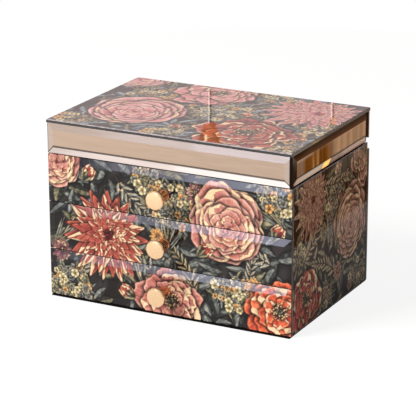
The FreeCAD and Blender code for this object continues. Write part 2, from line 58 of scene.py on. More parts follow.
# Each way a plate can face: its directions across, up and out.
FACES = {
    "front": ((1, 0, 0), (0, 0, 1), (0, -1, 0)),
    "back": ((-1, 0, 0), (0, 0, 1), (0, 1, 0)),
    "right": ((0, 1, 0), (0, 0, 1), (1, 0, 0)),
    "left": ((0, -1, 0), (0, 0, 1), (-1, 0, 0)),
    "lid": ((1, 0, 0), (0, 1, 0), (0, 0, 1)),
}


def linear(colour):
    """Screen colour of 0 to 1 as the amount of light it stands for."""
    value = np.asarray(colour, float)
    return np.where(value < 0.04045, value / 12.92, ((value + 0.055) / 1.055) ** 2.4)


def light_of(red, green, blue):
    """Screen colour of 0 to 255 as a tuple of light."""
    return tuple(float(part) for part in linear(np.array((red, green, blue)) / 255))


def smooth(low, high, value):
    """0 below low, 1 above high, and a soft step between."""
    step = np.clip((value - low) / (high - low), 0.0, 1.0)
    return step * step * (3 - 2 * step)


# The floral print. Lengths are in mm, and each ink has a deep, a middle and a pale tone.

DEEP, MID, PALE = 0, 1, 2
TONES = {name: tuple(np.array(tone, np.float32) / 255 for tone in tones) for name, tones in {
    "rose": ((92, 38, 38), (190, 112, 100), (236, 184, 164)),
    "clay": ((62, 18, 20), (160, 66, 56), (218, 124, 100)),
    "coral": ((92, 22, 16), (208, 82, 54), (250, 156, 104)),
    "cream": ((120, 98, 66), (218, 200, 148), (252, 244, 208)),
    "honey": ((110, 62, 30), (214, 150, 84), (250, 208, 140)),
    "plum": ((40, 22, 28), (112, 66, 70), (186, 134, 128)),
    "leaf": ((36, 38, 38), (104, 107, 103), (186, 185, 172)),
    "moss": ((34, 34, 30), (112, 106, 82), (190, 180, 140)),
    "mist": ((52, 60, 64), (118, 130, 136), (190, 202, 204)),
    "blush": ((118, 48, 52), (212, 132, 128), (240, 196, 190)),
    "dust": ((80, 46, 38), (166, 116, 98), (218, 172, 150)),
    "olive": ((48, 40, 32), (134, 120, 98), (206, 192, 160)),
}.items()}
GROUND, GROUND_FAR = (np.array(tone, np.float32) / 255 for tone in ((29, 25, 24), (52, 47, 46)))
ROUND = 6.3  # a little over a whole turn, for random directions


def polar(x, y, turn, away):
    return x + math.cos(turn) * away, y + math.sin(turn) * away


class PrintSheet:
    """A printed sheet, painted from the back to the front: ink colours and gold foil on a grid of dots."""

    def __init__(self, width, height, fine, seed):
        self.fine = fine
        self.rng = np.random.default_rng(seed)
        self.ink = np.zeros((round(height * fine), round(width * fine), 3), np.float32)
        self.foil = np.zeros(self.ink.shape[:2], np.float32)
        cloud = self.cloud(*self.grid(0, 0, self.ink.shape[1], self.ink.shape[0]), 26) * 0.5 + 0.5
        self.ink[:] = GROUND
        self.ink += (GROUND_FAR - GROUND) * smooth(0.35, 0.9, cloud)[..., None]

    def any_turn(self):
        return self.rng.uniform(0, ROUND)

    def perhaps(self, chance, amount, low, high):
        """That amount, more or less, or by chance nothing."""
        return amount * self.rng.uniform(low, high) if self.rng.random() < chance else 0

    def grid(self, left, low, right, high):
        x = (np.arange(left, right, dtype=np.float32) + 0.5) / self.fine
        y = (np.arange(low, high, dtype=np.float32) + 0.5) / self.fine
        return np.broadcast_to(x[None, :], (len(y), len(x))), np.broadcast_to(y[:, None], (len(y), len(x)))

    def cloud(self, x, y, size, count=5):
        """Soft random patches of about that size, round 0."""
        total = np.zeros(x.shape, np.float32)
        for _ in range(count):
            turn, start = self.rng.uniform(0, 2 * math.pi, 2)
            pace = 2 * math.pi / size * self.rng.uniform(0.6, 1.7)
            total += np.sin(x * (math.cos(turn) * pace) + y * (math.sin(turn) * pace) + start)
        return total / math.sqrt(count)

    def window(self, x, y, reach):
        """The dots round a place: first and last column and row, or None off the sheet."""
        (rows, columns), fine = self.foil.shape, self.fine
        left, right = max(int((x - reach) * fine), 0), min(int((x + reach) * fine) + 1, columns)
        low, high = max(int((y - reach) * fine), 0), min(int((y + reach) * fine) + 1, rows)
        return (left, low, right, high) if left < right and low < high else None

    def shape(self, x, y, turn, length, width, curl, reach):
        """The part of the sheet round a petal, with its places along (0 to 1) and across (-1 to 1)."""
        win = self.window(*polar(x, y, turn, length / 2), reach)
        if win is None:
            return None
        gx, gy = self.grid(*win)
        dx, dy = gx - x, gy - y
        along = (dx * math.cos(turn) + dy * math.sin(turn)) / length
        across = (dy * math.cos(turn) - dx * math.sin(turn)) / (width / 2) - curl * along * along
        return win, gx, gy, along, across

    def lay(self, win, mask, dark, tone, ink, foil=None):
        """Lays a shape: its shadow, its three tones and its foil."""
        left, low, right, high = win
        under, gold = self.ink[low:high, left:right], self.foil[low:high, left:right]
        keep = 1 - dark * (1 - mask)
        under *= keep[..., None]
        gold *= keep
        deep, mid, pale = ink
        tone = np.clip(tone, 0, 1)[..., None]
        colour = deep + (mid - deep) * np.minimum(tone * 2, 1) + (pale - mid) * np.maximum(tone * 2 - 1, 0)
        under += (colour - under) * mask[..., None]
        gold *= 1 - mask
        if foil is not None:
            gold += foil * mask

    def petal(self, x, y, turn, length, width, ink, neck=0.35, tip=0.0, curl=0.0, ruffle=0.05, shade=0.6,
              soft=0.2, gilt=0.0, light=0.0, veins=0.12, fold=0.15):
        """A petal with a narrow neck, a ruffled rim, veins, a fold, and foil along part of the rim."""
        rng = self.rng
        reach = (length * 1.15 + width * 0.5 * (1 + abs(curl))) * 0.72
        found = self.shape(x, y, turn, length, width, curl, reach)
        if found is None:
            return
        win, gx, gy, u, v = found
        waist = neck + (1 - neck) * smooth(-0.05, 0.55, u)
        if tip:
            waist = waist * (1 - tip * smooth(0.45, 1.05, u))
        a = v / np.maximum(waist, 0.05)
        bearing = np.arctan2(a, (u - 0.5) * 2)
        rim = 1.0
        for k in (3, 5, 8, 13):
            wave = ruffle * rng.uniform(0.3, 1.0) * (1 if k < 10 else 0.4)
            rim = rim + wave * np.sin(k * bearing + self.any_turn())
        inside = 1 - np.hypot((u - 0.5) * 2, a) / rim
        dots = min(length, width) / 2 * self.fine
        mask = np.clip(inside * dots + 0.5, 0, 1)
        fan = a / (0.45 + np.maximum(u, 0))
        lines = 0
        for pace in (rng.uniform(9, 16), rng.uniform(20, 32), rng.uniform(34, 52)):
            wave = fan * pace + u * rng.uniform(-4, 4) + self.any_turn()
            wave = wave + 0.8 * np.sin(u * 7 + rng.uniform(0, 6))
            lines = lines + (0.5 + 0.5 * np.sin(wave)) ** 4
        tone = 0.02 + 0.68 * smooth(-0.05, 0.95, u) + light
        tone = tone + 0.16 * np.clip(a * rng.choice([-1, 1]), -1, 1) - veins * lines
        tone = tone + 0.34 * smooth(0.22, 0.03, inside) * smooth(0.35, 0.85, u)
        tone = tone - 0.28 * smooth(0.035, 0.0, inside)
        spot = ((u - rng.uniform(0.5, 0.7)) / 0.16) ** 2 + ((a - rng.uniform(-0.35, 0.35)) / 0.4) ** 2
        tone = tone + 0.30 * np.exp(-spot) - fold * np.exp(-(a / 0.08) ** 2) * smooth(1.0, 0.2, u)
        tone = tone + 0.08 * self.cloud(gx, gy, max(length * 0.4, 1.5), 4)
        foil = None
        if gilt:
            rag = self.cloud(gx, gy, 2.2, 4)
            patch = sum(np.sin(k * bearing + self.any_turn()) for k in (2, 3, 5, 7)) / 2.2
            band = gilt * (0.32 + 0.92 * patch) * smooth(0.0, 0.65, u) + 0.03 * rag * smooth(0.0, 0.2, patch)
            foil = np.clip((band - inside) * dots + 0.5, 0, 1)
            tone = tone - 0.45 * smooth(-0.05, -0.005, band - inside) * (band > 0)
        self.lay(win, mask, smooth(-soft * 1.7, 0.03, inside) * shade, tone, ink, foil)

    def leaf(self, x, y, turn, length, width, ink, curl=0.0, gilt=0.0, shade=0.5, light=0.0):
        """A pointed leaf with a rib and barbs, and foil on its rib and in blots."""
        rng = self.rng
        found = self.shape(x, y, turn, length, width, curl, length * 0.6 + width * (0.35 + abs(curl) * 0.5))
        if found is None:
            return
        win, gx, gy, u, v = found
        q = np.clip(u, 0, 1)
        waist = np.maximum(np.sin(math.pi * q ** 0.8), 1e-3) ** 0.9
        waist = waist * (1 + 0.06 * np.sin(q * rng.uniform(18, 34)))
        inside = np.where((u > 0) & (u < 1), waist - np.abs(v), -1.0)
        dots = width / 2 * self.fine
        side = np.abs(v / waist)
        rib = np.exp(-(np.abs(v) / 0.07) ** 2)
        barbs = (0.5 + 0.5 * np.sin((u - side * 0.22) * rng.uniform(38, 52))) ** 4
        tone = 0.34 + light + 0.24 * np.sign(v) * rng.choice([-1, 1]) * smooth(0, 0.15, np.abs(v))
        tone = tone + 0.36 * rib + 0.2 * barbs - 0.3 * smooth(0.72, 1.0, side)
        tone = tone + 0.14 * self.cloud(gx, gy, max(length * 0.3, 1.5), 4) + 0.2 * smooth(0.3, 0.9, u)
        foil = None
        if gilt:
            line = np.clip((0.10 - np.abs(v)) * dots + 0.5, 0, 1) * smooth(0, 0.1, u) * smooth(0.95, 0.8, u)
            blot = self.cloud(gx, gy, length * 0.5, 4) * 0.5 + 0.15 * self.cloud(gx, gy, 2.0, 3) - 1.05 + gilt
            foil = np.maximum(line, smooth(0.0, 0.05, blot))
        self.lay(win, np.clip(inside * dots + 0.5, 0, 1), smooth(-0.6, 0.0, inside) * shade, tone, ink, foil)

    def berry(self, x, y, size, colour, foil=0.0):
        """A round dot, lit from the upper left."""
        win = self.window(x, y, size + 0.6)
        if win is None:
            return
        left, low, right, high = win
        gx, gy = self.grid(*win)
        away = np.hypot(gx - x, gy - y)
        mask = np.clip((size - away) * self.fine + 0.5, 0, 1)[..., None]
        ink, gold = self.ink[low:high, left:right], self.foil[low:high, left:right]
        ink *= (1 - 0.4 * smooth(size + 0.6, size, away))[..., None]
        light = np.clip(1 + 0.35 * ((gy - y) - (gx - x)) / size, 0.5, 1.4)[..., None]
        ink += (colour * light - ink) * mask
        gold += (foil - gold) * mask[..., 0]

    def stalk(self, x, y, turn, length, bend, ink):
        steps = max(2, int(length * 2))
        for _ in range(steps):
            self.berry(x, y, 0.45, ink)
            x, y = polar(x, y, turn, length / steps)
            turn += bend / steps
        return x, y, turn

    def seeds(self, x, y, count, spread, size, ink, low, high, foil=0.0):
        """Seeds over the middle of a bloom, in shades of an ink, and a share of them in foil."""
        for _ in range(count):
            place = polar(x, y, self.any_turn(), spread * math.sqrt(self.rng.random()))
            shade = ink * self.rng.uniform(low, high)
            self.berry(*place, size, shade, foil=float(foil > 0 and self.rng.random() < foil))

    def look(self, x, y):
        """The light of the ink, and the foil, at places on the sheet."""
        across = np.clip(x * self.fine - 0.5, 0, self.ink.shape[1] - 1.001)
        up = np.clip(y * self.fine - 0.5, 0, self.ink.shape[0] - 1.001)
        i, j = across.astype(int), up.astype(int)
        a, b = across - i, up - j

        def pick(layer):
            p, q = (a[:, None], b[:, None]) if layer.ndim == 3 else (a, b)
            low, high = (layer[row, i] * (1 - p) + layer[row, i + 1] * p for row in (j, j + 1))
            return low * (1 - q) + high * q

        return linear(pick(np.clip(self.ink, 0, 1))), pick(np.clip(self.foil, 0, 1))


def ring(sheet, count, jitter=0.2):
    """Evenly spread directions in a shuffled order, each a little off."""
    start = sheet.any_turn()
    for place in sheet.rng.permutation(count):
        yield start + (place + sheet.rng.uniform(-jitter, jitter)) * 2 * math.pi / count


def pressed(turn, tilt, lean):
    """How much a bloom that looks to one side shortens its petals there."""
    return 1 - tilt * (0.5 + 0.5 * math.cos(turn - lean))


def poppy(sheet, x, y, size, name, gilt):
    rng, ink = sheet.rng, TONES[name]
    layers = ((8, 1.0, 0.78), (7, 0.8, 0.66), (6, 0.58, 0.5), (5, 0.4, 0.36))
    for layer, (count, far, wide) in enumerate(layers):
        for turn in ring(sheet, count, 0.25):
            sheet.petal(*polar(x, y, turn, size * 0.04), turn + rng.uniform(-0.12, 0.12),
                        size * far * rng.uniform(0.9, 1.08) * pressed(turn, 0.3, 1.2),
                        size * wide * rng.uniform(0.85, 1.15), ink, neck=0.3, curl=rng.uniform(-0.3, 0.3),
                        ruffle=0.07, gilt=sheet.perhaps(0.7, gilt, 0.5, 1.2), light=-0.08 + 0.05 * layer,
                        veins=0.15)
    for _ in range(46):
        sheet.petal(x, y, sheet.any_turn(), size * rng.uniform(0.14, 0.25), size * 0.035,
                    (GROUND, TONES["plum"][DEEP], ink[MID]), shade=0.4, veins=0, ruffle=0, light=-0.25)
    for _ in range(60):
        place = polar(x, y, sheet.any_turn(), size * rng.uniform(0.1, 0.25))
        sheet.berry(*place, size * rng.uniform(0.010, 0.020), TONES["honey"][PALE] * rng.uniform(0.4, 1.0),
                    foil=float(rng.random() < 0.3))
    sheet.seeds(x, y, 14, size * 0.07, size * 0.028, TONES["moss"][MID], 0.5, 1.2)


def camellia(sheet, x, y, size, name, gilt):
    rng, ink = sheet.rng, TONES[name]
    for layer in range(7):
        for turn in ring(sheet, max(4, 9 - layer)):
            long = size * (1.0 - 0.135 * layer) * pressed(turn, 0.25, -1.2) * rng.uniform(0.93, 1.05)
            sheet.petal(x, y, turn + rng.uniform(-0.1, 0.1), long, long * rng.uniform(0.9, 1.25), ink,
                        curl=rng.uniform(-0.2, 0.2), ruffle=0.035, gilt=sheet.perhaps(0.6, gilt, 0.4, 1.1),
                        light=-0.06 + 0.03 * layer, veins=0.09, neck=0.25, fold=0.06, soft=0.14)
    for _ in range(6):
        turn = sheet.any_turn()
        sheet.petal(*polar(x, y, turn, size * 0.04), turn + 2.2, size * 0.14, size * 0.1, ink, veins=0.05)


def dahlia(sheet, x, y, size, name, gilt):
    rng, ink = sheet.rng, TONES[name]
    for layer in range(7):
        for turn in ring(sheet, 19 - layer, 0.15):
            long = size * (1.0 - 0.13 * layer) * pressed(turn, 0.25, 0.5) * rng.uniform(0.92, 1.05)
            sheet.petal(x, y, turn, long, size * (0.27 - 0.018 * layer), ink, curl=rng.uniform(-0.25, 0.25),
                        ruffle=0.015, tip=0.6, gilt=sheet.perhaps(0.55, gilt, 0.5, 1.3),
                        light=-0.12 + 0.025 * layer, neck=0.3, fold=0.3)
    sheet.seeds(x, y, 40, size * 0.1, size * 0.018, ink[DEEP], 0.7, 2.2)


def daisy(sheet, x, y, size, name, gilt):
    for layer in range(2):
        for turn in ring(sheet, 13 - 2 * layer):
            long = size * (1 - 0.2 * layer) * pressed(turn, 0.35, 0.0)
            sheet.petal(x, y, turn, long, size * 0.34, TONES[name], neck=0.3, tip=0.2,
                        curl=sheet.rng.uniform(-0.3, 0.3), ruffle=0.03,
                        gilt=gilt if sheet.rng.random() < 0.4 else 0, light=-0.02 + 0.08 * layer, veins=0.13)
    sheet.seeds(x, y, 34, size * 0.2, size * 0.035, TONES["honey"][MID], 0.4, 1.1, foil=0.2)


def bud(sheet, x, y, turn, name):
    size = 15
    for side in (-0.35, 0.35, 0.0):
        sheet.petal(*polar(x, y, turn, size * 0.15), turn + side, size, size * 0.62, TONES[name], curl=-side,
                    ruffle=0.02, tip=0.35, gilt=0.5 * sheet.rng.uniform(0.5, 1.2), light=-0.05, neck=0.5)
    for side in (-0.5, 0.1, 0.6):
        sheet.leaf(x, y, turn + side, size * 0.75, size * 0.24, TONES["moss"], curl=-side * 0.5)


def blossom(sheet, x, y, size, name):
    """A small five-petalled blossom with a few stamens."""
    for turn in ring(sheet, 5, 0.1):
        sheet.petal(x, y, turn, size, size * 0.95, TONES[name], ruffle=0.04, soft=0.3, light=0.06,
                    gilt=0.3 if sheet.rng.random() < 0.5 else 0, veins=0.07, fold=0.12)
    sheet.berry(x, y, size * 0.2, TONES["moss"][MID] * 0.8)
    for _ in range(3):
        sheet.berry(*polar(x, y, sheet.any_turn(), size * 0.2), size * 0.07, TONES["honey"][PALE])


def greenery(sheet, first, share, second):
    """The tones of the first ink or, for the rest of the times, of the second."""
    return TONES[first if sheet.rng.random() < share else second]


def cluster(sheet, x, y, reach, count, names):
    rng, size = sheet.rng, 4.1
    turns, away = rng.uniform(0, ROUND, count), reach * np.sqrt(rng.random(count))
    spots = list(zip(x + np.cos(turns) * away, y + 0.8 * np.sin(turns) * away))
    for px, py in spots:
        for _ in range(2):
            sheet.leaf(px, py, sheet.any_turn(), size * rng.uniform(1.6, 2.8), size * 0.9,
                       greenery(sheet, "leaf", 0.6, "moss"), light=-0.12)
    for px, py in sorted(spots, key=lambda spot: -spot[1]):
        blossom(sheet, px, py, size * rng.uniform(0.55, 1.15), names[int(rng.integers(len(names)))])


def spray(sheet, x, y, turn, name):
    """A leafy twig."""
    rng, length, count, size, gilt = sheet.rng, 50, 9, 12, 0.28
    for place in range(count):
        x, y, turn = sheet.stalk(x, y, turn, length / count, 0.6 / count, TONES["moss"][MID] * 0.7)
        taper = 1 - 0.45 * place / count
        for side in (-1, 1):
            sheet.leaf(x, y, turn + side * rng.uniform(0.5, 0.95), size * taper * rng.uniform(0.85, 1.2),
                       size * 0.36 * taper, TONES[name], curl=-side * 0.3, gilt=gilt * rng.uniform(0, 1.6),
                       light=0.05)
    sheet.leaf(x, y, turn, size * 0.7, size * 0.25, TONES[name], gilt=gilt, light=0.05)


def grasses(sheet, x, y, turn):
    rng, count, length = sheet.rng, 12, 34
    for _ in range(count):
        sheet.leaf(x + rng.uniform(-3, 3), y + rng.uniform(-3, 3), turn + rng.uniform(-0.6, 0.6),
                   length * rng.uniform(0.6, 1.1), rng.uniform(1.6, 3.2),
                   greenery(sheet, "leaf", 0.6, "moss"), curl=rng.uniform(-1.5, 1.5),
                   gilt=0.3 * (rng.random() < 0.4), light=rng.uniform(-0.1, 0.15))


BLOOMS = {"dahlia": dahlia, "camellia": camellia, "poppy": poppy, "daisy": daisy}
BLOSSOMS = ("cream", "cream", "leaf", "moss", "honey")

# Each sheet: its width, height, seed, gilt, foliage and small blossoms. Then from back to front its sprays
# (place, direction, ink), grasses (place, direction), clusters (place, reach, count), blooms and buds.
PRINTS = {
    "front": (
        240, 134.2, 5, 0.45, "leaf", BLOSSOMS,
        ((30, 20, 1.0, "leaf"), (110, 30, 2.2, "leaf"), (140, 110, -0.6, "leaf"), (225, 60, 2.6, "leaf"),
         (70, 120, -1.0, "leaf"), (185, 15, 0.9, "leaf"), (95, 90, 0.2, "moss"), (20, 80, -0.7, "moss"),
         (210, 118, -2.4, "moss"), (150, 20, 1.8, "moss")),
        ((120, 60, 1.2), (8, 50, 0.9), (236, 96, 2.4), (96, 20, 2.0)),
        ((128, 100, 26, 52), (22, 14, 22, 40), (184, 30, 20, 36), (228, 122, 18, 26), (100, 122, 14, 20)),
        (("daisy", 150, 116, 12, "plum"), ("daisy", 206, 40, 11, "honey"), ("daisy", 14, 44, 13, "plum"),
         ("daisy", 112, 72, 9, "honey"), ("dahlia", 62, 66, 50, "clay"), ("camellia", 180, 88, 42, "rose"),
         ("poppy", 230, 22, 36, "coral"), ("poppy", 124, 14, 38, "rose"), ("camellia", 10, 126, 30, "rose")),
        ((150, 60, 0.6, "clay"), (88, 10, 2.6, "clay"), (36, 112, 0.9, "clay"), (222, 84, 1.0, "clay"))),
    "right": (
        158, 133, 11, 0.26, "olive", ("olive", "leaf", "dust", "moss", "cream"),
        ((20, 60, 0.4, "olive"), (90, 30, 2.4, "olive"), (120, 110, -2.0, "leaf"), (60, 120, -0.4, "olive"),
         (140, 50, 1.9, "moss"), (10, 110, -0.5, "olive")),
        ((76, 60, 1.3), (150, 96, 2.2), (10, 10, 0.8), (100, 8, 1.8)),
        ((84, 92, 24, 40), (138, 16, 20, 34), (12, 74, 16, 22), (70, 14, 14, 20)),
        (("daisy", 96, 30, 11, "dust"), ("daisy", 64, 76, 10, "moss"), ("poppy", 28, 24, 36, "clay"),
         ("camellia", 122, 66, 40, "dust"), ("dahlia", 40, 112, 38, "dust"), ("poppy", 150, 128, 30, "dust")),
        ((88, 52, 0.6, "dust"), (100, 118, 2.4, "dust"))),
    "left": (
        158, 133, 12, 0.42, "leaf", BLOSSOMS,
        ((20, 30, 0.9, "leaf"), (100, 20, 1.4, "leaf"), (130, 110, -2.4, "leaf"), (70, 124, -1.2, "moss"),
         (60, 60, 0.2, "moss")),
        ((80, 64, 1.8), (8, 90, 0.4), (140, 50, 2.2)),
        ((76, 20, 24, 40), (28, 116, 22, 38), (146, 44, 16, 22), (84, 110, 14, 18)),
        (("daisy", 68, 80, 11, "honey"), ("daisy", 10, 84, 12, "plum"), ("dahlia", 112, 84, 42, "clay"),
         ("poppy", 38, 46, 38, "rose"), ("camellia", 148, 6, 32, "coral"), ("camellia", 62, 132, 26, "rose")),
        ((76, 52, 0.9, "clay"), (128, 30, 2.0, "rose"))),
    "back": (
        240, 127, 13, 0.42, "leaf", BLOSSOMS,
        ((30, 90, -0.6, "leaf"), (130, 30, 1.2, "leaf"), (200, 100, -1.9, "leaf"), (90, 110, -0.9, "moss"),
         (170, 20, 1.9, "moss"), (10, 60, 0.3, "moss")),
        ((96, 50, 1.4), (180, 70, 1.8), (8, 100, 0.2)),
        ((94, 92, 22, 40), (176, 36, 22, 38), (14, 112, 18, 26), (228, 104, 16, 24), (98, 10, 16, 24)),
        (("daisy", 100, 50, 12, "plum"), ("daisy", 190, 78, 11, "honey"), ("camellia", 50, 42, 42, "rose"),
         ("dahlia", 142, 82, 44, "clay"), ("poppy", 216, 26, 38, "rose"), ("poppy", 60, 124, 28, "clay")),
        ((108, 28, 1.0, "coral"), (186, 104, 1.9, "clay"))),
    "lid": (
        240, 166, 17, 0.2, "mist", ("cream", "cream", "mist", "moss", "honey"),
        ((30, 40, 0.4, "mist"), (120, 90, 1.2, "mist"), (200, 60, 2.2, "mist"), (70, 150, -1.2, "mist"),
         (160, 150, -0.8, "moss"), (20, 110, -0.2, "moss"), (110, 20, 0.6, "moss")),
        ((124, 60, 1.4), (236, 90, 2.4), (8, 80, 0.4), (140, 110, 0.9)),
        ((126, 92, 34, 80), (16, 12, 26, 46), (232, 76, 18, 28), (44, 122, 28, 54), (156, 156, 22, 34),
         (112, 8, 20, 30), (230, 14, 22, 34)),
        (("daisy", 108, 112, 12, "plum"), ("daisy", 222, 52, 12, "honey"), ("daisy", 66, 108, 11, "honey"),
         ("camellia", 58, 56, 50, "blush"), ("poppy", 178, 42, 50, "clay"), ("dahlia", 208, 124, 54, "blush"),
         ("poppy", 98, 148, 44, "blush"), ("camellia", 6, 160, 38, "blush")),
        ((118, 20, 2.0, "clay"), (144, 84, 0.8, "coral"), (232, 30, 1.9, "clay"))),
}


def printed_sheet(name, dots):
    """Paints one sheet of the print, with that many dots to the mm."""
    width, height, seed, gilt, foliage, small, sprays, tufts, clusters, blooms, buds = PRINTS[name]
    sheet = PrintSheet(width, height, dots, seed)
    rng = sheet.rng
    square = 125  # mm2 of the ground to each of its leaves
    for _ in range(round(width * height / square)):
        sheet.leaf(rng.uniform(0, width), rng.uniform(0, height), sheet.any_turn(), rng.uniform(14, 30),
                   rng.uniform(6, 11), greenery(sheet, foliage, 0.7, "moss"), curl=rng.uniform(-0.5, 0.5),
                   light=rng.uniform(-0.26, 0.04))
    for item in sprays:
        spray(sheet, *item)
    for item in tufts:
        grasses(sheet, *item)
    for item in clusters:
        cluster(sheet, *item, small)
    for kind, *item in blooms:
        BLOOMS[kind](sheet, *item, gilt)
    for item in buds:
        bud(sheet, *item)
    return sheet


# Finishes

SOCKETS = {"coat_ior": "Coat IOR", "specular": "Specular IOR Level"}


class Finish:
    """A material or world being mixed, with short ways to add its nodes."""

    def __init__(self, name, kind="materials"):
        self.made = getattr(bpy.data, kind).new(name)
        self.made.use_nodes = True
        self.tree = self.made.node_tree

    def node(self, kind, **settings):
        made = self.tree.nodes.new("ShaderNode" + kind)
        for name, value in settings.items():
            setattr(made, name, value)
        return made

    def join(self, socket, value):
        """Links a socket to another, or sets its number or colour."""
        if isinstance(value, bpy.types.NodeSocket):
            self.tree.links.new(value, socket)
        elif socket.type == "RGBA":
            socket.default_value = (*value[:3], 1.0)
        else:
            socket.default_value = value

    def fed(self, kind, *values, **settings):
        """A new node with its first inputs joined to these values."""
        made = self.node(kind, **settings)
        for socket, value in zip(made.inputs, values):
            self.join(socket, value)
        return made

    def wired(self, kind, **inputs):
        """A new node with some inputs joined by their names."""
        made = self.node(kind)
        for name, value in inputs.items():
            if value is not None:
                self.join(made.inputs[name], value)
        return made

    def set(self, **values):
        """Sets the shader's sockets, such as base_color= or coat_weight=, and gives back the material."""
        sockets = self.tree.nodes["Principled BSDF"].inputs
        for name, value in values.items():
            self.join(sockets[SOCKETS.get(name, name.replace("_", " ").title())], value)
        return self.made

    def maths(self, operation, a, b=0.0):
        return self.fed("Math", a, b, operation=operation).outputs[0]

    def times(self, a, b):
        return self.maths("MULTIPLY", a, b)

    def less(self, a, b):
        return self.maths("SUBTRACT", a, b)

    def step(self, value, low, high, start=0.0, end=1.0):
        """A soft step from start at low to end at high."""
        return self.fed("MapRange", value, low, high, start, end, interpolation_type="SMOOTHSTEP").outputs[0]

    def near(self, value, middle, wide, soft):
        """1 within that width of the middle, and 0 farther off."""
        off = self.less(value, middle) if middle else value
        return self.step(self.maths("ABSOLUTE", off), wide, wide + soft, 1, 0)

    def mix(self, share, first, second):
        made = self.node("Mix", data_type="RGBA")
        for place, value in ((0, share), (6, first), (7, second)):
            self.join(made.inputs[place], value)
        return made.outputs[2]

    def mottled(self, noise, first, second, low=0.3, high=0.7):
        """Patches of two colours, or of two values when they are numbers."""
        if isinstance(first, tuple):
            return self.mix(self.step(noise, low, high), first, second)
        return self.step(noise, low, high, first, second)

    def vector(self, operation, a, b=None, scale=None):
        made = self.fed("VectorMath", *((a,) if b is None else (a, b)), operation=operation)
        if scale is not None:
            self.join(made.inputs["Scale"], scale)
        return made.outputs["Value" if operation in ("DOT_PRODUCT", "DISTANCE") else "Vector"]

    def place(self):
        """Where a point is on the object, in mm."""
        return self.vector("SCALE", self.node("TexCoord").outputs["Object"], scale=1 / MM)

    def axes(self, vector=None):
        """The x, y and z of a vector, or of the point on the object in mm."""
        return self.fed("SeparateXYZ", vector or self.place()).outputs

    def noise(self, scale, detail=3.0, rough=0.5, stretch=(1, 1, 1)):
        """Noise of scale cells to the mm, finer along an axis whose stretch is more than 1."""
        place = self.vector("MULTIPLY", self.place(), stretch)
        made = self.wired("TexNoise", Vector=place, Scale=scale, Detail=detail, Roughness=rough)
        return made.outputs["Fac"]

    def bump(self, height, depth, strength=1.0, normal=None):
        """A relief of that many mm."""
        made = self.wired("Bump", Height=height, Distance=depth * MM, Strength=strength, Normal=normal)
        return made.outputs[0]

    def facing(self, axis):
        """The object's axis in the world, the face's own normal, and how far they agree."""
        turned = self.fed("VectorTransform", axis, vector_type="NORMAL", convert_from="OBJECT",
                          convert_to="WORLD").outputs[0]
        own = self.node("NewGeometry").outputs["True Normal"]
        return turned, own, self.vector("DOT_PRODUCT", turned, own)

    def through_bevel(self, axis):
        """The normal of what lies behind a bevel, which seems to lean the other way by half as much."""
        main, own, agree = self.facing(axis)
        lean = self.vector("SCALE", self.vector("SUBTRACT", main, own), scale=0.52)
        leaning = self.vector("NORMALIZE", self.vector("ADD", main, lean))
        return self.mix(self.step(agree, 0.5, 0.6), own, leaning), agree


def printed_glass(name, axis):
    """Print and gold foil behind glass. The gloss is the glass's own face, and the print shows through it."""
    finish = Finish(name)
    ink = finish.node("Attribute", attribute_name="print").outputs["Color"]
    foil = finish.node("Attribute", attribute_name="foil").outputs["Fac"]
    tint = finish.mottled(finish.noise(1.7, 2), 0.88, 1.1, 0.25, 0.75)
    crinkle = finish.noise(0.9, 4, 0.6)
    gold = finish.mottled(crinkle, light_of(240, 198, 148), light_of(255, 233, 196), 0.35)
    normal, _ = finish.through_bevel(axis)
    return finish.set(base_color=finish.mix(foil, finish.vector("SCALE", ink, scale=tint), gold),
                      metallic=finish.times(foil, 0.4), roughness=finish.step(foil, 0, 1, 0.5, 0.34),
                      specular=0.0, coat_weight=1.0, coat_roughness=0.012, coat_ior=1.35,
                      normal=finish.bump(finish.times(crinkle, foil), 0.12, 0.5, normal))


def ground_edge():
    """The cut edge of the glass, dark and satin."""
    finish = Finish("ground_edge")
    dark = finish.mottled(finish.noise(0.7), light_of(14, 13, 12), light_of(38, 34, 31))
    return finish.set(base_color=dark, roughness=0.25, coat_weight=0.6, coat_roughness=0.08,
                      normal=finish.bump(finish.noise(3.0, 2), 0.02))


def polished_arris():
    """The narrow polished slope round a plate: painted pale for the light it gathers, and painted dark at the
    front corners as painted shade.
    """
    finish = Finish("polished_arris")
    _, depth, height = finish.axes()
    front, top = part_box("lower_drawer_glass")[1][1] / MM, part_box("right_glass")[1][2] / MM
    pale = finish.mottled(finish.noise(0.25), light_of(146, 137, 140), light_of(188, 178, 182))
    # Painted shade: the front corners are painted dark and lose their gloss.
    corner = finish.times(finish.step(depth, front, front + 2, 1, 0),
                          finish.step(height, top - 2.2, top - 0.2, 1, 0))
    return finish.set(base_color=finish.mix(corner, pale, light_of(30, 23, 20)), roughness=0.12,
                      coat_weight=finish.less(1.0, corner), coat_roughness=0.03)


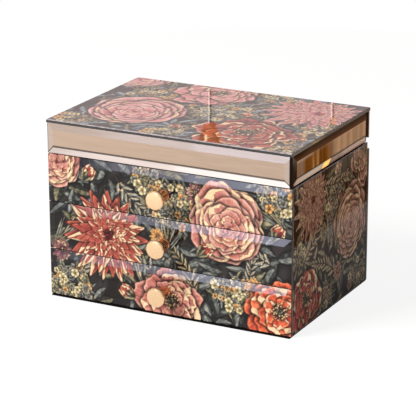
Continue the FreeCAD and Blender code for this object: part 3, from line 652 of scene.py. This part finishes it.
def bronze_mirror(way, cut=(0.012, 0.010, 0.009), beside=False):
    """The strip of bronze mirror on one side of the lid.

    It is paler through its bevels, with dark lines painted as shade where they meet its face and the plate.
    The front and upper bevels of a strip beside the front one are painted near-black, a painted reflection of
    the dark of the plate and of that strip.
    """
    finish = Finish("bronze_" + way)
    axis = FACES[way][2]
    along = int(way in ("left", "right"))  # its length lies along x or y
    half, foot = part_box("lid_strip_" + way)[1][along] / MM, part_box("lid_strip_front")[0][2] / MM
    normal, agree = finish.through_bevel(axis)
    axes = finish.axes()
    inset = finish.less(half, finish.maths("ABSOLUTE", axes[along]))
    rise = finish.less(axes[2], foot)

    def stripe(value, middle, wide, start, end):
        """1 within that width of the middle, between two insets."""
        begun, done = finish.step(inset, start, start + 0.2), finish.step(inset, end, end + 0.2, 1, 0)
        return finish.times(finish.near(value, middle, wide, 0.3), finish.times(begun, done))

    # Painted shade: dark lines where the lower bevel meets the face, along the mitres, round the rim and
    # across the far end.
    lower = stripe(rise, 6.5, 0.75, 6.2, 999.0)
    mitre = stripe(finish.less(inset, rise), 0, 0.5, 0.0, 6.6)
    line = finish.maths("MAXIMUM", lower, mitre)
    line = finish.maths("MAXIMUM", line, finish.step(inset, 0.4, 0.8, 1, 0))
    far_end = finish.step(axes[along], half - 3.0, half - 2.2)
    line = finish.maths("MAXIMUM", finish.times(line, 0.8), far_end)
    brushed = finish.noise(0.35, 3, 0.5, (0.12, 0.12, 1.6))
    face = finish.mottled(brushed, (0.50, 0.355, 0.262), (0.54, 0.39, 0.292))
    bevel = finish.mottled(brushed, (0.50, 0.395, 0.335), (0.54, 0.43, 0.37))
    colour = finish.mix(finish.step(agree, 0.97, 0.995), bevel, face)
    colour = finish.mix(line, colour, (0.012, 0.008, 0.006))
    colour = finish.mix(finish.step(agree, 0.5, 0.8, 1, 0), colour, cut)
    coat = finish.times(finish.step(agree, 0.5, 0.8), finish.less(1.0, line))
    # Painted reflection: the front and upper bevels of a side strip are painted near-black and lose their
    # gloss.
    if beside:
        upper, front = (finish.step(finish.facing(FACES[out][2])[2], 0.1, 0.2) for out in ("lid", "front"))
        upper = finish.times(upper, finish.step(rise, 20.5, 26.5, 0.3, 0.98))
        dark = finish.maths("MAXIMUM", upper, finish.times(front, 0.98))
        colour = finish.mix(dark, colour, (0.012, 0.009, 0.007))
        coat = finish.times(coat, finish.less(1.0, dark))
    return finish.set(base_color=colour, metallic=1.0, roughness=0.03, coat_weight=coat, coat_roughness=0.012,
                      coat_ior=1.35, normal=normal)


def clear_mirror():
    finish = Finish("clear_mirror")
    silver = finish.mottled(finish.noise(0.02, 2), (0.80, 0.82, 0.82), (0.84, 0.86, 0.86))
    return finish.set(base_color=silver, metallic=1.0, roughness=0.012, coat_weight=1.0, coat_roughness=0.01)


def rose_gold():
    """Plated rose gold with the faint rings that turning leaves, and a duller stem painted darker and redder
    as painted shade and reflection.
    """
    finish = Finish("rose_gold")
    tint = finish.mottled(finish.noise(0.5), (0.955, 0.66, 0.39), (0.985, 0.715, 0.445))
    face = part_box("lower_knob")[0][1] / MM
    # Painted shade and reflection: the stem is painted darker and redder than the face.
    stem = finish.step(finish.axes()[1], face + 1.3, face + 3)
    wear = finish.mottled(finish.noise(1.2, 4), 0.10, finish.step(stem, 0.0, 1.0, 0.17, 0.36))
    rings = finish.noise(0.8, 2, 0.5, (1, 8, 1))
    return finish.set(base_color=finish.mix(stem, tint, (0.70, 0.32, 0.18)), metallic=1.0, roughness=wear,
                      normal=finish.bump(rings, 0.006, 0.4))


def plated(name, pale, deep, roughness):
    finish = Finish(name)
    return finish.set(base_color=finish.mottled(finish.noise(0.6, 4), deep, pale), metallic=1.0,
                      roughness=finish.mottled(finish.noise(1.5, 4), roughness * 0.8, roughness * 1.3),
                      normal=finish.bump(finish.noise(2.0), 0.01, 0.5))


def black_paper():
    """Boards wrapped in black leatherette paper, with its pebbled grain."""
    finish = Finish("black_paper")
    cells = finish.wired("TexVoronoi", Vector=finish.place(), Scale=1.3)
    cells.feature = "SMOOTH_F1"
    grain = finish.maths("ADD", cells.outputs["Distance"], finish.noise(3.0))
    black = finish.mottled(grain, light_of(20, 19, 19), light_of(38, 36, 35), 0.5, 1.3)
    return finish.set(base_color=black, roughness=finish.mottled(grain, 0.62, 0.45, 0.4, 1.4),
                      normal=finish.bump(grain, 0.05, 0.6))


def velvet(name, deep, pale):
    """Short pile velvet: sheen at its edges and soft patches where the pile leans."""
    finish = Finish(name)
    lean, pile = finish.noise(0.06), finish.noise(6.0, 2)
    return finish.set(base_color=finish.mottled(lean, deep, pale, 0.35, 0.65), roughness=0.95, specular=0.1,
                      sheen_weight=0.8, sheen_roughness=0.35, sheen_tint=(0.75, 0.70, 0.72),
                      normal=finish.bump(finish.maths("ADD", pile, finish.times(lean, 2.0)), 0.08, 0.6))


def felt():
    finish = Finish("felt")
    hairs = finish.noise(2.5, 5, 0.7)
    return finish.set(base_color=finish.mottled(hairs, light_of(10, 10, 10), light_of(30, 29, 29)),
                      roughness=1.0, specular=0.05, normal=finish.bump(hairs, 0.15))


# Pieces

def linked(name, data):
    """A new object of this data in the scene."""
    made = bpy.data.objects.new(name, data)
    bpy.context.scene.collection.objects.link(made)
    return made


def new_piece(name, bm, materials, body=None, slot=None, *nodes):
    """Makes a piece of a bmesh, rides it on its body and puts it in the place of its CAD nodes."""
    mesh = bpy.data.meshes.new(name)
    bm.to_mesh(mesh)
    bm.free()
    for material in materials:
        mesh.materials.append(material)
    piece = linked(name, mesh)
    if body:
        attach(piece, body)
    if nodes:
        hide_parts(*nodes)
    return piece


def dress(material, *nodes):
    """Puts a finish in every slot of these CAD nodes."""
    for node in nodes:
        if not NODES[node].material_slots:
            NODES[node].data.materials.append(material)
        for slot in NODES[node].material_slots:
            slot.material = material


def drawer_nodes(*parts):
    """These nodes of each drawer."""
    return [drawer + part for drawer in DRAWERS for part in parts]


def plate_place(node, way):
    """A plate's width, height and thickness in mm, and the matrix that puts its own mm into the frame."""
    low, high = [np.array(corner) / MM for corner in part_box(node)]
    axes = np.array(FACES[way], float)
    size = [float(abs(axis @ (high - low))) for axis in axes]
    start = np.where(axes[2] - axes[0] - axes[1] > 0, high, low)
    turn = Matrix(FACES[way]).transposed().to_4x4()
    return size, Matrix.Translation(Vector(start) * MM) @ turn @ Matrix.Scale(MM, 4)


def grid_lines(length, edge, cell):
    """Places of a grid's lines: whole cells in the slope at each side, and whole cells between."""
    near = np.linspace(0, edge, max(1, round(edge / cell)) + 1)[:-1]
    middle = np.linspace(edge, length - edge, max(1, round((length - 2 * edge) / cell)) + 1)
    return np.concatenate((near, middle, length - near[::-1]))


def glass_plate(size, edge, fall, cell):
    """A closed plate: a fine grid whose rim falls away in mitred slopes, drawn back and closed.

    Its face, slopes and cut edges have material 0, 1 and 2.
    """
    wide, tall, thick = size
    across, up = grid_lines(wide, edge, cell), grid_lines(tall, edge, cell)
    columns, rows = len(across) - 1, len(up) - 1
    bm = bmesh.new()
    bmesh.ops.create_grid(bm, x_segments=columns, y_segments=rows, size=0.5)
    for vert in bm.verts:
        x = float(across[round((vert.co.x + 0.5) * columns)])
        y = float(up[round((vert.co.y + 0.5) * rows)])
        inset = min(x, wide - x, y, tall - y)
        vert.co = (x, y, -fall * (1 - min(inset / edge, 1.0)))
    for x, y, lean in ((0, 0, -1), (wide, 0, 1), (0, tall, 1), (wide, tall, -1)):
        parts = {part for face in bm.faces
                 if all(max(abs(vert.co.x - x), abs(vert.co.y - y)) < edge + 0.01 for vert in face.verts)
                 for part in (face, *face.edges, *face.verts)}
        bmesh.ops.bisect_plane(bm, geom=list(parts), dist=1e-4, plane_co=(x, y, 0), plane_no=(1, lean, 0))
    for face in bm.faces:
        middle = face.calc_center_median()
        face.material_index = int(min(middle.x, wide - middle.x, middle.y, tall - middle.y) < edge)
    drawn = bmesh.ops.extrude_edge_only(bm, edges=[side for side in bm.edges if side.is_boundary])["geom"]
    for vert in (part for part in drawn if isinstance(part, bmesh.types.BMVert)):
        vert.co.z = -thick
    filled = bmesh.ops.holes_fill(bm, edges=[side for side in bm.edges if side.is_boundary])["faces"]
    for face in [part for part in drawn if isinstance(part, bmesh.types.BMFace)] + filled:
        face.material_index = 2
    bmesh.ops.recalc_face_normals(bm, faces=bm.faces)
    return bm


def print_on(piece, sheet, size, edge, low):
    """Gives a plate its ink and foil. Through the slopes the print stands a little nearer the middle."""
    wide, tall, _ = size
    mesh = piece.data
    count = len(mesh.vertices)
    place = np.empty(count * 3, np.float32)
    mesh.vertices.foreach_get("co", place)
    x, y, _ = place.reshape(-1, 3).T
    side, end = np.minimum(x, wide - x), np.minimum(y, tall - y)
    push = 0.9 * np.clip(1 - np.minimum(side, end) / edge, 0, 1)
    ink, foil = sheet.look(x + np.where(side < end, push * np.sign(wide / 2 - x), 0),
                           y + low + np.where(side < end, 0, push * np.sign(tall / 2 - y)))
    mesh.attributes.new("print", "FLOAT_COLOR", "POINT").data.foreach_set(
        "color", np.concatenate((ink, np.ones((count, 1))), axis=1).ravel())
    mesh.attributes.new("foil", "FLOAT", "POINT").data.foreach_set("value", foil)


SHEETS = {}


def printed_pane(node, way, body, edge, fall, cell, low=0.0, slope=None):
    """A printed glass plate in the place of its CAD node."""
    size, place = plate_place(node, way)
    if way not in SHEETS:
        SHEETS[way] = printed_sheet(way, bpy.context.scene.jewel_sizes.dots)
    finish = printed_glass(node + "_print", FACES[way][2])
    cut = bpy.data.materials.get("ground_edge") or ground_edge()
    piece = new_piece(node + "_printed", glass_plate(size, edge, fall, cell), (finish, slope or finish, cut),
                      body, "printed_glass", node)
    print_on(piece, SHEETS[way], size, edge, low)
    piece.data.transform(place)


def lathe(outline, axis, steps, ease=0.0):
    """Spins an outline, given by each point's distance from the axis and along it, round y or z."""
    bm = bmesh.new()
    points = [bm.verts.new((away, 0, along) if axis == "z" else (away, along, 0)) for away, along in outline]
    for first, second in zip(points, points[1:]):
        bm.edges.new((first, second))
    if ease:
        bmesh.ops.bevel(bm, geom=points[1:-1], offset=ease, offset_type="OFFSET", affect="VERTICES",
                        segments=2, profile=0.5, material=-1)
    bmesh.ops.spin(bm, geom=bm.verts[:] + bm.edges[:], cent=(0, 0, 0), axis=(0, axis == "y", axis == "z"),
                   angle=math.tau, steps=steps, use_merge=True, use_duplicate=False)
    return bm


def turned_knob(node, body, material):
    """A knob turned round its axis: foot, stem and flat chamfered head, with every corner eased."""
    low, high = [Vector(corner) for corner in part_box(node)]
    middle = (low + high) / 2
    reach, head = (high.y - low.y) / MM, (high.x - low.x) / 2 / MM
    foot, stem, depth, chamfer = 5.2, 4.4, 3.2, 1.1
    outline = ((0.0, 0.0), (foot, 0.0), (foot, 1.6), (stem, 2.4), (stem, reach - depth),
               (head, reach - depth), (head, reach - chamfer), (head - chamfer, reach), (0.0, reach))
    bm = lathe([(away * MM, -along * MM) for away, along in outline], "y", 72, 0.25 * MM)
    bmesh.ops.remove_doubles(bm, verts=bm.verts, dist=1e-6)
    bmesh.ops.recalc_face_normals(bm, faces=bm.faces)
    bmesh.ops.translate(bm, verts=bm.verts, vec=(middle.x, high.y, middle.z))
    piece = new_piece(body.replace("drawer", "turned_knob"), bm, (material,), body, "knob_metal", node)
    piece.data.shade_smooth()
    piece.data.set_sharp_from_angle(angle=math.radians(35))


def plump_roll(length, width, height):
    """One ring roll, lying along x: a slim bar that cloth pressure plumps, then trimmed to its size."""
    bm = bmesh.new()
    bmesh.ops.create_cube(bm, size=1.0)
    bmesh.ops.scale(bm, verts=bm.verts, vec=(length * 0.96, width * 0.86, height * 0.80))
    bmesh.ops.bevel(bm, geom=bm.edges[:], offset=width * 0.3, offset_type="OFFSET", affect="EDGES",
                    segments=4, profile=0.5, material=-1)
    roll = new_piece("roll", bm, ())
    remesh = roll.modifiers.new("remesh", "REMESH")
    remesh.mode = "VOXEL"
    remesh.voxel_size = 0.0016
    steps = 14
    cloth = roll.modifiers.new("cloth", "CLOTH")
    cloth.settings.use_pressure = True
    cloth.settings.uniform_pressure_force = 4.0
    cloth.settings.effector_weights.gravity = 0.0
    cloth.settings.tension_stiffness = 12
    cloth.point_cache.frame_start = 1
    cloth.point_cache.frame_end = steps
    for step in range(1, steps + 1):
        bpy.context.scene.frame_set(step)
        bpy.context.view_layer.update()
    made = bpy.data.meshes.new_from_object(roll.evaluated_get(bpy.context.evaluated_depsgraph_get()))
    bpy.context.scene.frame_set(1)
    bpy.data.objects.remove(roll)
    return made


class JEWEL_OT_ring_rolls(bpy.types.Operator):
    """Lays the velvet ring rolls in the tray, plumped as cloth"""
    bl_idname = "jewel.ring_rolls"
    bl_label = "Ring rolls"

    def execute(self, context):
        low, high = [Vector(corner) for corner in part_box("ring_rolls")]
        count = context.scene.jewel_sizes.rolls
        pitch = (high.y - low.y) / count
        size = Vector((high.x - low.x, pitch, high.z - low.z))
        shape = plump_roll(*size)
        rng = np.random.default_rng(3)
        bm = bmesh.new()
        for place in range(count):
            before = set(bm.verts)
            bm.from_mesh(shape)
            added = [vert for vert in bm.verts if vert not in before]
            least, most = (Vector([end(vert.co[axis] for vert in added) for axis in range(3)])
                           for end in (min, max))
            fit = Vector(((size.x - 0.0004) / (most.x - least.x), (pitch - 0.0003) / (most.y - least.y),
                          size.z * rng.uniform(0.975, 1.0) / (most.z - least.z)))
            bmesh.ops.translate(bm, verts=added, vec=-(least + most) / 2)
            bmesh.ops.scale(bm, verts=added, vec=fit)
            rise = low.z - min(vert.co.z for vert in added)
            bmesh.ops.translate(bm, verts=added,
                                vec=((low.x + high.x) / 2, low.y + pitch * (place + 0.5), rise))
        bmesh.ops.smooth_vert(bm, verts=bm.verts, factor=0.4, use_axis_x=False, use_axis_y=False,
                              use_axis_z=True)
        for vert in bm.verts:
            vert.co.z = min(max(vert.co.z, low.z), high.z)
        pile = velvet("roll_velvet", light_of(30, 27, 29), light_of(58, 52, 55))
        piece = new_piece("ring_roll_cushions", bm, (pile,), "case", "velvet", "ring_rolls")
        piece.data.shade_smooth()
        return {"FINISHED"}


class JEWEL_OT_drawer_glass(bpy.types.Operator):
    """Makes the three bevelled drawer fronts, which share one sheet of the print"""
    bl_idname = "jewel.drawer_glass"
    bl_label = "Drawer fronts"

    def execute(self, context):
        sizes = context.scene.jewel_sizes
        feet = {drawer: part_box(drawer + "_drawer_glass")[0][2] for drawer in DRAWERS}
        for drawer, foot in feet.items():
            printed_pane(drawer + "_drawer_glass", "front", drawer + "_drawer", sizes.bevel / MM,
                         sizes.bevel_fall / MM, sizes.front_cell / MM, low=(foot - feet["lower"]) / MM)
        return {"FINISHED"}


class JEWEL_OT_case_glass(bpy.types.Operator):
    """Makes the printed panes of the sides, the back and the lid"""
    bl_idname = "jewel.case_glass"
    bl_label = "Side, back and lid glass"

    def execute(self, context):
        sizes = context.scene.jewel_sizes
        arris, slope = sizes.arris / MM, polished_arris()
        for way in ("right", "left", "back"):
            printed_pane(way + "_glass", way, "case", arris, arris * 0.6, sizes.side_cell / MM, slope=slope)
        printed_pane("lid_glass", "lid", "lid", arris, arris, sizes.lid_cell / MM, slope=slope)
        return {"FINISHED"}


class JEWEL_OT_mirror_rim(bpy.types.Operator):
    """Finishes the bronze mirror strips round the lid and the mirror inside it"""
    bl_idname = "jewel.mirror_rim"
    bl_label = "Mirror rim"

    def execute(self, context):
        dress(bronze_mirror("front"), "lid_strip_front")
        dress(bronze_mirror("back", cut=(0.16, 0.10, 0.07)), "lid_strip_back")
        for way in ("right", "left"):
            dress(bronze_mirror(way, beside=True), "lid_strip_" + way)
        dress(clear_mirror(), "lid_mirror")
        return {"FINISHED"}


class JEWEL_OT_knobs(bpy.types.Operator):
    """Turns the three knobs and finishes their screws"""
    bl_idname = "jewel.knobs"
    bl_label = "Knobs"

    def execute(self, context):
        gold = rose_gold()
        for drawer in DRAWERS:
            turned_knob(drawer + "_knob", drawer + "_drawer", gold)
        steel = plated("screw_steel", (0.58, 0.56, 0.53), (0.42, 0.41, 0.40), 0.3)
        dress(steel, *drawer_nodes("_knob_screw"))
        return {"FINISHED"}


class JEWEL_OT_boards(bpy.types.Operator):
    """Wraps the boards of the case, the lid and the drawers in black paper"""
    bl_idname = "jewel.boards"
    bl_label = "Boards"

    def execute(self, context):
        parts = ("front_board", "left_side", "right_side", "back", "bottom")
        dress(black_paper(), "bottom_board", "left_wall", "right_wall", "back_wall", "lower_shelf",
              "upper_shelf", "tray_floor", "tray_front_rail", "lid_board",
              *["lid_rail_" + side for side in ("front", "back", "left", "right")],
              *drawer_nodes(*["_drawer_" + part for part in parts]))
        return {"FINISHED"}


class JEWEL_OT_linings(bpy.types.Operator):
    """Lines the drawers and the tray with velvet and puts felt under the case"""
    bl_idname = "jewel.linings"
    bl_label = "Linings"

    def execute(self, context):
        dress(velvet("velvet", light_of(27, 24, 26), light_of(54, 48, 51)), "neck_frame", "tray_dividers",
              "tray_lining", *drawer_nodes("_drawer_lining"))
        dress(felt(), "base_felt", "lid_pads")
        return {"FINISHED"}


class JEWEL_OT_hinges(bpy.types.Operator):
    """Finishes the hinges and their pins. Their screws keep the plain steel of the frame"""
    bl_idname = "jewel.hinges"
    bl_label = "Hinges"

    def execute(self, context):
        dress(plated("hinge_metal", (0.86, 0.62, 0.45), (0.70, 0.48, 0.34), 0.24), "hinge_fixed_leaves",
              "hinge_moving_leaves", "hinge_pins")
        return {"FINISHED"}


# The stage. The camera is the one that the photograph's edges give.

CAMERA_WAY = (27.45, 18.092)  # azimuth and height, in degrees
CAMERA_ROLL = -0.136  # degrees
CAMERA_AIM = Vector((-1.978, 0, 76.498))  # mm
CAMERA_REACH = 1.88406  # metres


def toward(azimuth, height):
    """A direction: azimuth from the front towards the right, and height above the horizon, in degrees."""
    turn, rise = math.radians(azimuth), math.radians(height)
    return math.sin(turn) * math.cos(rise), -math.cos(turn) * math.cos(rise), math.sin(rise)


def photo_camera():
    """A long lens, a little above the box, from the front right."""
    lens = bpy.data.cameras.new("photo_camera")
    lens.lens = 180.0
    lens.sensor_width = 36.0
    holder = linked("photo_camera", lens)
    back = Vector(toward(*CAMERA_WAY))
    side = (-back).cross(Vector((0, 0, 1))).normalized()
    turn = Matrix((side, back.cross(side), back)).transposed()
    turn = turn @ Matrix.Rotation(math.radians(CAMERA_ROLL), 3, "Z")
    holder.matrix_world = Matrix.Translation(CAMERA_AIM * MM + back * CAMERA_REACH) @ turn.to_4x4()
    bpy.context.scene.camera = holder


def soft_lamp(power):
    """The soft square lamp at the front left, which gloss doesn't show."""
    light = bpy.data.lights.new("key", "AREA")
    light.shape = "SQUARE"
    light.size = 1.2
    light.energy = power
    light.color = (1.0, 0.985, 0.965)
    holder = linked("key", light)
    holder.location = (-1.3, -1.9, 2.1)
    holder.rotation_euler = (Vector((0, 0, 0.08)) - holder.location).to_track_quat("-Z", "Y").to_euler()
    holder.visible_glossy = False


def room_world(lights):
    """A pale room: white where the camera looks, a cool window at the front left, darker to the right."""
    finish = Finish("room", "worlds")
    bpy.context.scene.world = finish.made
    path = finish.node("LightPath").outputs
    x, y, z = finish.axes(finish.node("TexCoord").outputs["Generated"])
    turn = finish.times(finish.maths("ARCTAN2", x, finish.times(y, -1.0)), 180 / math.pi)
    height = finish.times(finish.maths("ARCSINE", z), 180 / math.pi)

    def span(value, low, high, soft):
        return finish.times(finish.step(value, low - soft, low), finish.step(value, high, high + soft, 1, 0))

    def patch(left, right, low, high, soft):
        """1 between two azimuths and two heights, in degrees."""
        return finish.times(span(turn, left, right, soft), span(height, low, high, soft))

    room = finish.mix(patch(-176, -130, 6, 30, 8), (0.72, 0.66, 0.63), (1.04, 0.87, 0.86))
    room = finish.mix(patch(75, 176, -20, 60, 25), room, (0.20, 0.16, 0.14))
    room = finish.mix(patch(115, 176, -9, 40, 2), room, (0.045, 0.030, 0.020))
    weak = finish.step(height, 3.0, 6.0, finish.step(turn, -32.3, -28.8, 1.0, 1.9),
                       finish.step(turn, -30.6, -28.5, 0.9, 6.3))
    cool = finish.mottled(height, (0.905, 0.96, 1.035), (0.98, 0.96, 1.16), 3.0, 6.0)
    weak = finish.vector("SCALE", cool, scale=weak)
    seen = finish.mix(patch(-38, -27.1, -5.5, 13.0, 0.3), room, weak)
    bright = finish.mix(finish.step(height, 2.0, 6.0), (2.1, 2.35, 2.6), lights.window)
    seen = finish.mix(patch(-27.0, -14, -5.5, 13.0, 0.3), seen, bright)
    fill = finish.mix(patch(60, 170, -30, 50, 30), (0.36, 0.355, 0.35), (0.20, 0.19, 0.185))
    seen = finish.mix(path["Is Glossy Ray"], finish.vector("SCALE", fill, scale=lights.fill), seen)
    seen = finish.mix(path["Is Camera Ray"], seen, (1.0, 1.0, 1.0))
    finish.join(finish.tree.nodes["Background"].inputs["Color"], seen)


def pale_floor(lights):
    """A white table top. The camera sees it half lit from within, so that the shadow on it stays faint.

    Gloss sees it painted warmer to the right of the box, a painted reflection.
    """
    bm = bmesh.new()
    bmesh.ops.create_circle(bm, cap_ends=True, segments=96, radius=1.05)
    finish = Finish("pale_floor")
    path = finish.node("LightPath").outputs
    # Painted reflection: a warm tint that only gloss sees, to the right of the box.
    warm = finish.times(finish.step(finish.axes()[0], 140.0, 260.0), path["Is Glossy Ray"])
    white = finish.mix(warm, (0.90, 0.895, 0.89), (0.86, 0.56, 0.44))
    white = finish.mix(path["Is Camera Ray"], white, (lights.floor,) * 3)
    grain = finish.mottled(finish.noise(0.01, 2), 0.99, 1.0)
    finish.set(base_color=finish.vector("SCALE", white, scale=grain), roughness=0.9, specular=0.0,
               emission_color=(1.0, 1.0, 1.0),
               emission_strength=finish.times(path["Is Camera Ray"], lights.floor_glow))
    new_piece("floor", bm, (finish.made,))


def gloss_only(name, bm, finish, colour):
    """A glowing piece of the stage that only gloss and mirrors see."""
    finish.set(base_color=(0, 0, 0), specular=0.0, emission_color=colour, emission_strength=1.0)
    piece = new_piece(name, bm, (finish.made,))
    piece.visible_camera = piece.visible_diffuse = piece.visible_transmission = False
    piece.visible_shadow = piece.visible_volume_scatter = False


def amber_screen():
    """A dark amber screen behind the right side that glows for gloss alone, a painted reflection: a brown
    fold, then streaks, then a tan run, and a painted glint.
    """
    bm = bmesh.new()
    bmesh.ops.create_grid(bm, x_segments=1, y_segments=1, size=0.5)
    bmesh.ops.scale(bm, verts=bm.verts, vec=(0.50, 0.118, 1))
    for axis in "XZ":
        bmesh.ops.rotate(bm, verts=bm.verts, cent=(0, 0, 0), matrix=Matrix.Rotation(math.pi / 2, 3, axis))
    bmesh.ops.translate(bm, verts=bm.verts, vec=(0.215, 0.356, 0.0592))
    finish = Finish("amber_screen")
    _, along, height = finish.axes()  # mm from the middle of the box, and up
    streak = finish.noise(0.12, 3, 0.6, (0.3, 1.0, 0.03))
    fold = finish.mottled(streak, (0.26, 0.16, 0.10), (0.38, 0.26, 0.17), 0.4, 0.6)
    amber = finish.mottled(streak, (0.17, 0.06, 0.005), (0.29, 0.12, 0.022), 0.42, 0.56)
    amber = finish.mix(finish.step(streak, 0.60, 0.63), amber, (0.60, 0.36, 0.14))
    tan = finish.mottled(streak, (0.45, 0.31, 0.20), (0.68, 0.46, 0.29), 0.35, 0.65)
    colour = finish.mix(finish.step(along, 146.0, 152.0), fold, amber)
    colour = finish.mix(finish.step(along, 199.0, 226.0), colour, tan)
    colour = finish.mix(finish.step(height, 36.0, 60.0), (0.20, 0.08, 0.03), colour)
    brow = finish.mottled(along, (0.36, 0.25, 0.185), (0.63, 0.455, 0.34), 206.0, 224.0)
    brow = finish.mix(finish.step(along, 164.0, 172.0), (0.92, 0.80, 0.68), brow)
    colour = finish.mix(finish.step(height, 84.0, 92.0), colour, brow)
    # A painted glint: a small bright patch on the screen's brow.
    painted_glint = finish.times(finish.near(along, 175.0, 6.5, 2.5), finish.near(height, 99.0, 7.0, 2.0))
    gloss_only("amber_screen", bm, finish, finish.mix(painted_glint, colour, (2.6, 1.7, 0.4)))


def far_lamp(name, x, foot, top, shade, glow):
    """A small lamp across the room, which the lid mirrors: a beaded stem with a painted highlight down one
    side and painted shade down the other, under an amber lampshade.
    """
    beads = 18
    outline = [(0.0028 + 0.0024 * (bead % 2), foot + (top - foot) * bead / beads)
               for bead in range(beads + 1)]
    bm = lathe(outline + [(shade[0], top), (shade[1], top + shade[2])], "z", 16)
    bmesh.ops.translate(bm, verts=bm.verts, vec=(x, 3.0, 0))
    finish = Finish(name)
    across, _, height = finish.axes()
    # Painted highlight and painted shade: the stem glows bright on one side and dark on the other.
    stem = finish.mottled(across, (2.6, 2.4, 2.3), (0.05, 0.04, 0.04), (x + 0.0002) / MM, (x + 0.0012) / MM)
    colour = finish.mix(finish.step(height, top / MM - 1, top / MM + 1), stem, glow)
    bulb = finish.vector("DISTANCE", finish.place(), (x / MM, 2972.0, top / MM + shade[2] * 550))
    gloss_only(name, bm, finish, finish.mix(finish.step(bulb, 3.0, 9.0, 1, 0), colour, (4.5, 3.4, 2.2)))


class JEWEL_OT_stage(bpy.types.Operator):
    """Sets up the camera, the pale floor, the room, what the gloss sees and the soft lamp"""
    bl_idname = "jewel.stage"
    bl_label = "Stage"

    def execute(self, context):
        lights = context.scene.jewel_lights
        context.scene.view_settings.view_transform = "Standard"
        photo_camera()
        room_world(lights)
        pale_floor(lights)
        amber_screen()
        far_lamp("far_lamp", -1.554, 1.036, 1.128, (0.014, 0.033, 0.055), (1.2, 0.46, 0.18))
        far_lamp("far_lamp_small", -1.209, 1.028, 1.070, (0.008, 0.010, 0.022), (1.2, 0.75, 0.42))
        soft_lamp(lights.key)
        return {"FINISHED"}


def number(name, about, value, least=0.0, **more):
    """A number that the panel shows."""
    return bpy.props.FloatProperty(name=name, description=about, default=value, min=least, **more)


def length(name, about, value, least):
    return number(name, about, value, least, unit="LENGTH")


def whole(name, about, value, most):
    return bpy.props.IntProperty(name=name, description=about, default=value, min=1, max=most)


class JewelSizes(bpy.types.PropertyGroup):
    """Sizes of the glass, the print and the tray"""
    bevel: length("Bevel width", "Width of the bevels on the drawer fronts", 0.0066, 0.001)
    bevel_fall: length("Bevel fall", "How far those bevels fall at the rim", 0.0018, 0.0002)
    arris: length("Arris", "Width of the polished slope round the other panes", 0.0008, 0.0002)
    front_cell: length("Front dot", "Distance between the print's dots on the drawer fronts", 0.00055, 0.0003)
    side_cell: length("Side dot", "Distance between the print's dots on the sides and back", 0.0007, 0.0003)
    lid_cell: length("Lid dot", "Distance between the print's dots on the lid", 0.00068, 0.0003)
    dots: whole("Dots", "Dots to the mm when a sheet is painted", 3, 8)
    rolls: whole("Rolls", "Number of ring rolls", 8, 16)


class JewelLights(bpy.types.PropertyGroup):
    """Levels of the stage's light"""
    key: number("Key", "Power of the soft lamp", 100.0, unit="POWER")
    fill: number("Fill", "Share of the room's light that fills the shadows", 1.0)
    window: bpy.props.FloatVectorProperty(name="Window", description="Light of the window in the gloss",
                                          default=(9.4, 9.5, 12.0), min=0.0, max=50.0, subtype="COLOR")
    floor: number("Floor", "Share of the floor's look that the lamps give", 0.17, max=1.0, subtype="FACTOR")
    floor_glow: number("Floor glow", "Share that it has without the lamps", 0.87)


OPERATORS = (JEWEL_OT_stage, JEWEL_OT_boards, JEWEL_OT_linings, JEWEL_OT_ring_rolls, JEWEL_OT_drawer_glass,
             JEWEL_OT_case_glass, JEWEL_OT_mirror_rim, JEWEL_OT_knobs, JEWEL_OT_hinges)


class JEWEL_PT_box(bpy.types.Panel):
    """Lists the makers of the jewellery box and their settings"""
    bl_label = "Jewellery box"
    bl_idname = "JEWEL_PT_box"
    bl_space_type = "VIEW_3D"
    bl_region_type = "UI"
    bl_category = "Jewellery box"

    def draw(self, context):
        for maker in OPERATORS:
            self.layout.operator(maker.bl_idname)
        for group in (context.scene.jewel_sizes, context.scene.jewel_lights):
            for name in group.bl_rna.properties.keys():
                if name not in ("rna_type", "name"):
                    self.layout.prop(group, name)


CLASSES = (JewelSizes, JewelLights, *OPERATORS, JEWEL_PT_box)


def register():
    for item in CLASSES:
        bpy.utils.register_class(item)
    bpy.types.Scene.jewel_sizes = bpy.props.PointerProperty(type=JewelSizes)
    bpy.types.Scene.jewel_lights = bpy.props.PointerProperty(type=JewelLights)


def unregister():
    del bpy.types.Scene.jewel_lights
    del bpy.types.Scene.jewel_sizes
    for item in reversed(CLASSES):
        bpy.utils.unregister_class(item)


def main():
    """Dresses the whole box."""
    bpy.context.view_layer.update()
    register()
    for maker in OPERATORS:
        group, name = maker.bl_idname.split(".")
        if getattr(getattr(bpy.ops, group), name)() != {"FINISHED"}:
            raise RuntimeError(maker.bl_label + " didn't finish")
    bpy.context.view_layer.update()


if __name__ == "__main__":
    main()
